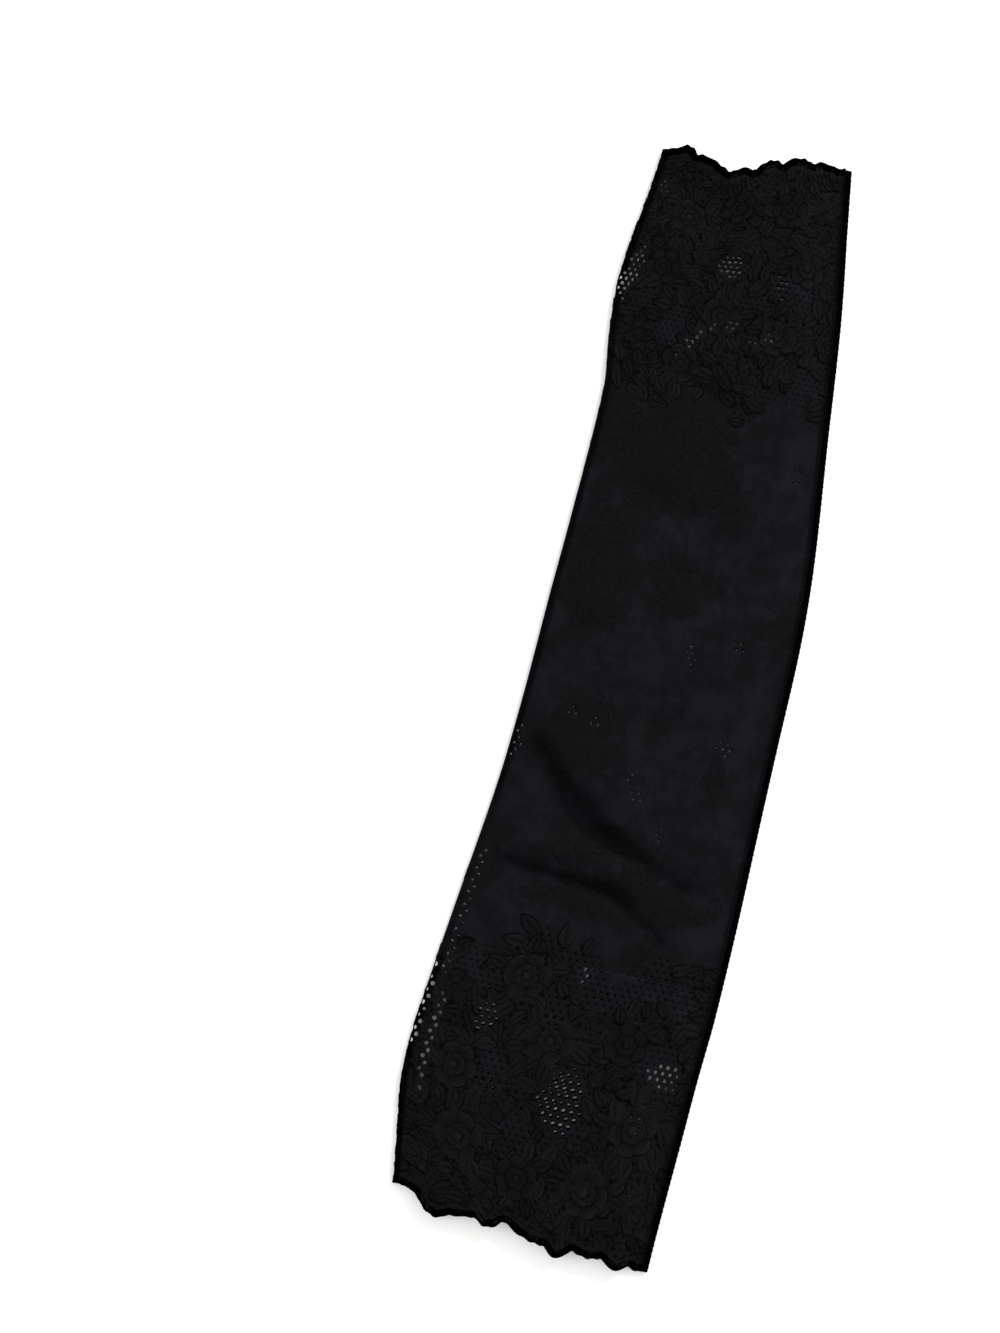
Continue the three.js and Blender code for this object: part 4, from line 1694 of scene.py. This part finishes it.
@dataclass(frozen=True)
class OverlockSeam:
    """The seam along the right side: trimmed edges bound by an overlock stitch.

    Attributes:
        stitch: distance between two stitches.
        end_inset: how far inside the hems the seam ends.
        body_steps, body_sides: sections to each stitch, and the sides of each.
        body_half_width, body_height: size of the bound edge.
        body_lift: its height above the surface that the sleeve lies on.
        body_roundness: power that rounds its oval.
        nip: how far each stitch nips it in, as a share of its size.
        outset: how far its middle stands outwards of the seam's.
        thread_radius, thread_sides: the looper and needle threads.
        loop_steps, needle_steps: places on the thread of a loop and of a needle stitch.
        loop_from, loop_to: the turn round the edge at which a loop starts and ends.
        loop_sink: how deep the loop is drawn into the edge.
        loop_start, loop_advance: where a loop starts, and how far it slants along, in stitches.
        thread_clearance: how far the loop stays off the surface under the sleeve.
        needle_column: where the needle line runs, in columns from the seam.
        needle_ends: how far from the seam's ends it stops.
        needle_start, needle_length: the visible part of a needle stitch, in stitches.
        needle_sink, needle_rise: how deep its thread lies, and how far it rises.
    """

    stitch: float = 2.3
    end_inset: float = 0.3
    body_steps: int = 3
    body_sides: int = 12
    body_half_width: float = 1.35
    body_height: float = 2.5
    body_lift: float = 0.22
    body_roundness: float = 0.7
    nip: float = 0.042
    outset: float = 0.15
    thread_radius: float = 0.24
    thread_sides: int = 5
    loop_steps: int = 15
    needle_steps: int = 5
    loop_from: float = 1.05 * math.pi
    loop_to: float = -0.9 * math.pi
    loop_sink: float = 0.04
    loop_start: float = 0.4
    loop_advance: float = 0.75
    thread_clearance: float = 0.02
    needle_column: float = 0.55
    needle_ends: float = 4.0
    needle_start: float = 0.08
    needle_length: float = 0.84
    needle_sink: float = 0.40
    needle_rise: float = 0.22

    def ends(self) -> tuple[float, float]:
        """Where the seam starts and ends along the sleeve."""
        start, end = (float(SHAPE.hem_edge(hem, np.array(0.0))) for hem in Hem)
        return start + self.end_inset, end - self.end_inset

    def centre(self, y: Array) -> Array:
        """The seam's middle line across the sleeve."""
        return SHAPE.size("right", y) - SHAPE.seam_width / 2 + self.outset

    def profile(self, angle: Array, grow: float) -> tuple[Array, Array]:
        """A rounded flat oval, cos^roundness across by sin^roundness up, grown by a margin."""
        half = self.body_height / 2
        across = rounded_power(np.cos(angle), self.body_roundness) * (self.body_half_width + grow)
        up = rounded_power(np.sin(angle), self.body_roundness) * (half + grow)
        return across, half + self.body_lift + up

    def build_body(self, name: str, material: Material) -> Piece:
        """The bound edge: the oval carried along the side, nipped in at every stitch."""
        start, end = self.ends()
        steps = int((end - start) / self.stitch * self.body_steps)
        y = np.linspace(start, end, steps)
        across, up = self.profile(np.arange(self.body_sides) * 2 * np.pi / self.body_sides, 0.0)
        half = self.body_height / 2
        scale = 1.0 + self.nip * np.cos(2 * np.pi * (y - start) / self.stitch)[:, None]
        x = self.centre(y)[:, None] + across[None, :] * scale
        z = half + (up[None, :] - half) * scale
        points = SHAPE.to_metres(np.stack([x, np.broadcast_to(y[:, None], x.shape), z], axis=2))
        faces = tube_faces(steps, self.body_sides, closed=False)[:, ::-1]
        piece = new_object(name, points.reshape(-1, 3), faces, material)
        add_tube_uv(piece, steps, self.body_sides, y)
        return piece

    def build_stitches(self, name: str, material: Material) -> Piece:
        """The looper threads: each stitch wraps the edge on a slant, from the lace over the top."""
        start, end = self.ends()
        tubes = Tubes(self.thread_sides)
        angle = np.linspace(self.loop_from, self.loop_to, self.loop_steps)
        across, up = self.profile(angle, -self.loop_sink)
        z = np.maximum(up, self.thread_radius + self.thread_clearance)
        out = np.stack([np.cos(angle), np.zeros_like(angle), np.sin(angle)], axis=1)
        slant = self.loop_start + np.linspace(0.0, self.loop_advance, len(angle))
        for number in range(int((end - start) / self.stitch) - 1):
            y = start + self.stitch * (number + slant)
            path = SHAPE.to_metres(np.stack([self.centre(y) + across, y, z], axis=1))
            tubes.add(path, out, self.thread_radius * MM, False)
        return tubes.make(name, material)

    def build_needle_line(self, name: str, material: Material) -> Piece:
        """The needle thread: a line of short stitches on the lace beside the bound edge."""
        start, end = self.ends()
        tubes = Tubes(self.thread_sides)
        share = np.linspace(0.0, 1.0, self.needle_steps)
        sink = self.needle_sink - self.needle_rise * np.sin(np.pi * share)
        out = np.tile([0.0, 0.0, 1.0], (self.needle_steps, 1))
        for number in range(int((end - start - 2 * self.needle_ends) / self.stitch)):
            along = number + self.needle_start + self.needle_length * share
            y = start + self.needle_ends + self.stitch * along
            path = SHAPE.to_metres(SHAPE.outside(self.needle_column, y, sink))
            tubes.add(path, out, self.thread_radius * MM, False)
        return tubes.make(name, material)


def linear_from_hex(code: str) -> tuple[float, float, float, float]:
    """Turns an sRGB hex colour into the linear colour that a shader takes, by the sRGB standard."""
    values = [int(code[place:place + 2], 16) / 255 for place in (1, 3, 5)]
    linear = [v / 12.92 if v <= 0.04045 else ((v + 0.055) / 1.055) ** 2.4 for v in values]
    return (*linear, 1.0)


def add_node(tree: Tree, kind: str, inputs: dict | None = None, **settings) -> bpy.types.Node:
    """Adds a node to a tree.

    Args:
        tree: the material's node tree.
        kind: the node's type name.
        inputs: what each input takes, a value or another node's output, by name or number.
        settings: the node's own properties.

    Returns:
        The new node.
    """
    made = tree.nodes.new(kind)
    for name, value in settings.items():
        setattr(made, name, value)
    for socket, value in (inputs or {}).items():
        if isinstance(value, Socket):
            tree.links.new(value, made.inputs[socket])
        else:
            made.inputs[socket].default_value = value
    return made


def new_material(name: str) -> tuple[Material, Tree]:
    """An empty node material with its output ready."""
    material = bpy.data.materials.new(name)
    material.use_nodes = True
    material.node_tree.nodes.clear()
    return material, material.node_tree


def mix_colours(tree: Tree, share: Socket, first: object, second: object) -> Socket:
    """Blends two colours, each a value or another node's output, and gives the blend's output.

    The node takes its share as input 0 and its colours as 6 and 7, and gives the blend as output 2.
    """
    inputs = {0: share, 6: first, 7: second}
    return add_node(tree, "ShaderNodeMix", inputs, data_type="RGBA").outputs[2]


def read_value(tree: Tree, name: str) -> Socket:
    """One of the mesh's own values, as add_value stored it."""
    return add_node(tree, "ShaderNodeAttribute", attribute_name=name).outputs["Fac"]


def work_out(tree: Tree, operation: str, first: object, second: object) -> Socket:
    """Adds, multiplies or raises two values, each a number or another node's output."""
    return add_node(tree, "ShaderNodeMath", {0: first, 1: second}, operation=operation).outputs[0]


def remap(
    tree: Tree,
    value: Socket,
    span: tuple[float, float] = (0.0, 1.0),
    to_span: tuple[float, float] = (0.0, 1.0),
) -> Socket:
    """Moves a value from one span to another and holds it there past the ends."""
    ends = {"From Min": span[0], "From Max": span[1], "To Min": to_span[0], "To Max": to_span[1]}
    return add_node(tree, "ShaderNodeMapRange", {"Value": value, **ends}).outputs[0]


def stretch_uv(tree: Tree, scale: tuple[float, float, float]) -> Socket:
    """The piece's own UV map, scaled."""
    uv = add_node(tree, "ShaderNodeUVMap", uv_map="net").outputs["UV"]
    return add_node(tree, "ShaderNodeMapping", {"Vector": uv, "Scale": scale}).outputs[0]


def object_place(tree: Tree) -> Socket:
    """The place on the part, in metres."""
    return add_node(tree, "ShaderNodeTexCoord").outputs["Object"]


def add_texture(tree: Tree, kind: str, place: Socket, inputs: tuple, **settings) -> Socket:
    """A noise or wave pattern's value, from its inputs as pairs of a name and a number."""
    inputs = {"Vector": place, **dict(inputs)}
    return add_node(tree, f"ShaderNodeTex{kind}", inputs, **settings).outputs["Fac"]


def add_bump(tree: Tree, height: Socket, strength: float, millimetres: float) -> Socket:
    """A bumped surface direction from a height."""
    inputs = {"Height": height, "Strength": strength, "Distance": millimetres * MM}
    return add_node(tree, "ShaderNodeBump", inputs).outputs[0]


def add_surface(tree: Tree, inputs: dict) -> None:
    """Adds the shader with what its inputs take, and joins it to the material's output."""
    shader = add_node(tree, "ShaderNodeBsdfPrincipled", inputs)
    add_node(tree, "ShaderNodeOutputMaterial", {"Surface": shader.outputs[0]})


@dataclass(frozen=True)
class JacquardLace:
    """Warp-knitted nylon and elastane jacquard lace, dyed black.

    It gives the eye a matt, nearly black cloth. The plain ground is a little lighter and bluish,
    the close-worked flowers are denser and neutral with a painted highlight on their highest
    places, and painted shade darkens the valleys and creases, the fold's edge and the seam's side.

    Attributes:
        petal_shade, petal_highlight: colours of a petal's low and high places, painted shade in its
            clefts and a painted highlight on its raised places.
        between: colour of the ground between close-worked petals.
        ground, ground_light: colours of the plain ground, which meet in soft clouds.
        painted_shade_strength: how much of its colour the painted shade takes away.
        highlight: power that keeps the petals' painted highlight to their highest places.
        roughness_ground, roughness_petal, specular: the gloss.
        cloud_inputs: the size and raggedness of the clouds.
        patch_span: the cloud's values between which one ground colour gives way to the other.
        fray_span, fray: its values that fray the flowery patches' edges, and how far.
        bloom_span: how flowery the lace is where the ground starts and ends to turn neutral.
        ribs_to_pitch: knitted ribs to each column of net.
        rib_inputs, grain_inputs: the make of the ribs and of the grain on them.
        bump_strength, bump_mm: how strong and how high the knit stands.
    """

    petal_shade: str = "#040404"
    petal_highlight: str = "#131312"
    between: str = "#090909"
    ground: str = "#08080a"
    ground_light: str = "#0e0e13"
    painted_shade_strength: float = 0.88
    highlight: float = 2.2
    roughness_ground: float = 0.85
    roughness_petal: float = 0.6
    specular: float = 0.05
    cloud_inputs: tuple = (("Scale", 70.0), ("Detail", 6.0), ("Roughness", 0.8))
    patch_span: tuple = (0.43, 0.57)
    fray_span: tuple = (0.35, 0.65)
    fray: float = 0.45
    bloom_span: tuple = (0.3, 0.7)
    ribs_to_pitch: float = 3.0
    rib_inputs: tuple = (
        ("Scale", 6.0 / (2 * math.pi)),
        ("Distortion", 1.4),
        ("Detail", 2.0),
        ("Detail Scale", 1.5),
    )
    grain_inputs: tuple = (("Scale", 3.2), ("Detail", 2.0))
    bump_strength: float = 0.7
    bump_mm: float = 0.12

    def make(self) -> Material:
        """Builds the material."""
        material, tree = new_material("jacquard_lace_black")
        worked, relief, painted_shade, flowery = (
            read_value(tree, name) for name in ("worked", "relief", "painted_shade", "flowery")
        )
        cloth = mix_colours(
            tree, worked, self.ground_colour(tree, flowery), self.petal_colour(tree, relief)
        )
        # Painted shade: the colour is blended towards black, and the gloss taken away, where it lies.
        shade = work_out(tree, "MULTIPLY", painted_shade, self.painted_shade_strength)
        gloss = (self.roughness_ground, self.roughness_petal)
        add_surface(tree, {
            "Base Color": mix_colours(tree, shade, cloth, BLACK),
            "Roughness": remap(tree, worked, to_span=gloss),
            "Specular IOR Level": remap(tree, painted_shade, to_span=(self.specular, 0.0)),
            "Normal": self.knit(tree),
        })
        return material

    def ground_colour(self, tree: Tree, flowery: Socket) -> Socket:
        """The ground: two bluish blacks in clouds, frayed into neutral black among the flowers."""
        cloud = add_texture(tree, "Noise", object_place(tree), self.cloud_inputs)
        patchy = remap(tree, cloud, self.patch_span)
        dark, light = linear_from_hex(self.ground), linear_from_hex(self.ground_light)
        bare = mix_colours(tree, patchy, dark, light)
        stray = remap(tree, cloud, self.fray_span, (self.fray, -self.fray))
        bloom = remap(tree, work_out(tree, "ADD", flowery, stray), self.bloom_span)
        return mix_colours(tree, bloom, bare, linear_from_hex(self.between))

    def petal_colour(self, tree: Tree, relief: Socket) -> Socket:
        """The petals: a painted highlight on their highest places, and painted shade in their clefts.
        """
        # Painted highlight and shade: the colour follows the relief's height.
        height = work_out(tree, "POWER", relief, self.highlight)
        low, high = linear_from_hex(self.petal_shade), linear_from_hex(self.petal_highlight)
        return mix_colours(tree, height, low, high)

    def knit(self, tree: Tree) -> Socket:
        """The knit's bump: ribs along the sleeve with a fine grain."""
        place = stretch_uv(tree, (self.ribs_to_pitch, self.ribs_to_pitch, 1.0))
        ribs = add_texture(tree, "Wave", place, self.rib_inputs, bands_direction="X")
        grain = add_texture(tree, "Noise", place, self.grain_inputs)
        height = work_out(tree, "ADD", ribs, grain)
        return add_bump(tree, height, self.bump_strength, self.bump_mm)


@dataclass(frozen=True)
class CordThread:
    """Twisted polyester cord thread, dyed black, as outlines and hem cords are laid with.

    It is a deeper black than the lace, with a faint painted sheen on every ply.

    Attributes:
        name: the material's name.
        colour, light: colours between the plies and of the painted sheen on them.
        roughness, specular: the gloss.
        plies_to_mm: how closely the plies follow each other.
        ply_inputs, fluff_inputs: the make of the plies and of the fluff on them.
        bump_strength, bump_mm: how strong and how high the plies stand.
    """

    name: str
    colour: str = "#020202"
    light: str = "#060606"
    roughness: float = 0.6
    specular: float = 0.02
    plies_to_mm: float = 1.1
    ply_inputs: tuple = (("Scale", 0.5), ("Distortion", 0.4), ("Detail", 1.0))
    fluff_inputs: tuple = (("Scale", 900.0), ("Detail", 2.0))
    bump_strength: float = 0.6
    bump_mm: float = 0.16

    def make(self) -> Material:
        """Builds the material: slanted plies along the thread, with a little fluff."""
        material, tree = new_material(self.name)
        along = stretch_uv(tree, (1.0, self.plies_to_mm, 1.0))
        plies = add_texture(tree, "Wave", along, self.ply_inputs, bands_direction="DIAGONAL")
        fluff = add_texture(tree, "Noise", object_place(tree), self.fluff_inputs)
        height = work_out(tree, "ADD", plies, fluff)
        # Painted sheen: each ply is painted lighter than the groove between plies.
        low, high = linear_from_hex(self.colour), linear_from_hex(self.light)
        add_surface(tree, {
            "Base Color": mix_colours(tree, plies, low, high),
            "Roughness": self.roughness,
            "Specular IOR Level": self.specular,
            "Normal": add_bump(tree, height, self.bump_strength, self.bump_mm),
        })
        return material


@dataclass(frozen=True)
class LightTable:
    """A pale translucent acrylic table top, lit evenly and a little from below.

    Attributes:
        colour: the acrylic's colour.
        roughness: its gloss.
        glow: how strongly it shines by itself.
    """

    colour: str = "#f7f7f6"
    roughness: float = 0.7
    glow: float = 0.02

    def make(self) -> Material:
        """Builds the material."""
        material, tree = new_material("pale_acrylic_table")
        add_surface(tree, {
            "Base Color": linear_from_hex(self.colour),
            "Roughness": self.roughness,
            "Emission Color": linear_from_hex(self.colour),
            "Emission Strength": self.glow,
        })
        return material


@dataclass(frozen=True)
class SoftBox:
    """A square soft light that faces the sleeve: place and side in metres, power in watts."""

    name: str
    place: tuple[float, float, float]
    side: float
    power: float

    def hang(self) -> None:
        """Adds the light."""
        data = bpy.data.lights.new(self.name, "AREA")
        data.size = self.side
        data.energy = self.power
        light = link_object(self.name, data)
        light.location = self.place
        light.rotation_euler = (-Vector(self.place)).to_track_quat("-Z", "Y").to_euler()


@dataclass(frozen=True)
class Studio:
    """The table, the soft lights and the camera that looks straight down on the sleeve.

    Attributes:
        view_height: how much of the table the picture shows from bottom to top.
        lean: how far the sleeve leans right of the picture's upright, in degrees.
        centre_x, centre_y: the picture's middle, from the sleeve's axis and arm hem.
        distance, sees_to: the camera's height and how far it sees, in metres.
        sensor: long side of the camera's sensor.
        table_half: half the table top's width, in metres.
        lights: a soft low key from the top right and a weaker fill.
        surround: strength of the even white surround.
    """

    view_height: float = 533.2
    lean: float = 12.374
    centre_x: float = -56.47
    centre_y: float = 216.33
    distance: float = 2.4
    sees_to: float = 50.0
    sensor: float = 36.0
    table_half: float = 6.0
    lights: tuple[SoftBox, ...] = (
        SoftBox("key_light", (0.9, 1.7, 1.2), 0.8, 62.0),
        SoftBox("fill_light", (-1.6, -0.4, 1.8), 1.4, 16.0),
    )
    surround: float = 0.95

    def place_camera(self) -> None:
        """Puts a long lens straight above the picture's middle, turned by the lean.

        The focal length is the sensor's long side times the distance over the view's long side.
        """
        data = bpy.data.cameras.new("camera")
        data.sensor_fit = "AUTO"
        data.sensor_width = self.sensor
        data.lens = self.sensor * self.distance / (self.view_height * MM)
        data.clip_end = self.sees_to
        camera = link_object("camera", data)
        middle = SHAPE.to_metres(np.array([self.centre_x, self.centre_y, 0.0]))
        camera.location = (middle[0], middle[1], self.distance)
        camera.rotation_euler = (0.0, 0.0, math.radians(self.lean))
        bpy.context.scene.camera = camera

    def lay_table(self, material: Material) -> None:
        """Lays the table top just under the sleeve."""
        corners = self.table_half * np.array([[-1, -1, 0], [1, -1, 0], [1, 1, 0], [-1, 1, 0]], float)
        table = new_object("table_top", corners, np.array([[0, 1, 2], [0, 2, 3]]), material)

    def light(self) -> None:
        """Hangs the lights and sets the surround."""
        for soft_box in self.lights:
            soft_box.hang()
        world = bpy.data.worlds.new("surround")
        world.use_nodes = True
        background = world.node_tree.nodes["Background"]
        background.inputs["Color"].default_value = WHITE
        background.inputs["Strength"].default_value = self.surround
        bpy.context.scene.world = world
        bpy.context.scene.view_settings.view_transform = "Standard"
        bpy.context.scene.view_settings.look = "None"


@dataclass(frozen=True)
class ArmSleeve:
    """The whole sleeve: lace zones, outline threads, scalloped borders and the side seam.

    Attributes:
        zone_shares: where the zones of each layer start and end, as shares of its rows.
        zone_names: the zones from the arm to the wrist.
    """

    zone_shares: tuple = (0.0, 0.22, 0.76, 1.0)
    zone_names: tuple = ("arm", "middle", "wrist")

    @cached_property
    def charts(self) -> dict[Layer, ClothChart]:
        """What is worked in each layer."""
        return {layer: ClothChart(layer) for layer in Layer}

    @staticmethod
    def finish_piece(piece: Piece, node: str, slot: str) -> None:
        """Rides a piece on the part, hides the part's own mesh that it stands for, and reports it."""
        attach(piece, "root")
        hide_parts(node)
        LOG.info("%s: %d triangles", piece.name, len(piece.data.polygons))

    def build_lace(self, material: Material) -> None:
        """The lace in three zones of each layer, with each zone's flat cut worked out."""
        bounds = [int(round(share * NET.rows)) for share in self.zone_shares]
        for layer in (Layer.UNDER, Layer.UPPER):
            for name, start, end in zip(self.zone_names, bounds[:-1], bounds[1:]):
                zone = LaceZone(f"lace_{layer.value}_{name}", layer, start, end)
                piece = zone.build(self.charts[layer], material)
                self.finish_piece(piece, "lace_panel", "lace")
                width, length, area = zone.flat_cut()

    def build(self) -> None:
        """Builds every piece in order and dresses it."""
        lace = JacquardLace().make()
        outline = CordThread("outline_thread_black").make()
        hem_cord = CordThread("scallop_cord_black", "#000000", "#020202", specular=0.0).make()
        overlock = CordThread("overlock_thread_black", "#010101", "#030303", specular=0.0).make()
        needle = CordThread("needle_thread_black", "#050506", "#09090b").make()
        self.build_lace(lace)
        threads = (
            ("outline_thread_upper", Layer.UPPER, True, outline),
            ("outline_thread_under", Layer.UNDER, True, outline),
            ("outline_thread_middle", Layer.UPPER, False, lace),
        )
        for name, layer, in_bands, material in threads:
            thread = OutlineThread(self.charts[layer], in_bands).build(name, material)
            self.finish_piece(thread, "lace_panel", "lace")
        for hem in Hem:
            border = ScallopBorder(hem)
            node = f"{hem.value}_scallop_edge"
            cords = border.build_cords(f"{hem.value}_scallop_cords", hem_cord)
            self.finish_piece(cords, node, "scallop_cord")
            band = border.build_band(f"{hem.value}_scallop_band", hem_cord)
            self.finish_piece(band, node, "scallop_cord")
        seam = OverlockSeam()
        for piece in (
            seam.build_body("side_seam_binding", overlock),
            seam.build_stitches("side_seam_stitches", overlock),
            seam.build_needle_line("side_seam_needle_line", needle),
        ):
            self.finish_piece(piece, "side_seam", "seam_thread")


def main() -> None:
    """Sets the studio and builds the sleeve."""
    logging.basicConfig(level=logging.INFO, format="%(message)s")
    studio = Studio()
    studio.place_camera()
    studio.lay_table(LightTable().make())
    studio.light()
    ArmSleeve().build()


if __name__ == "__main__":
    main()
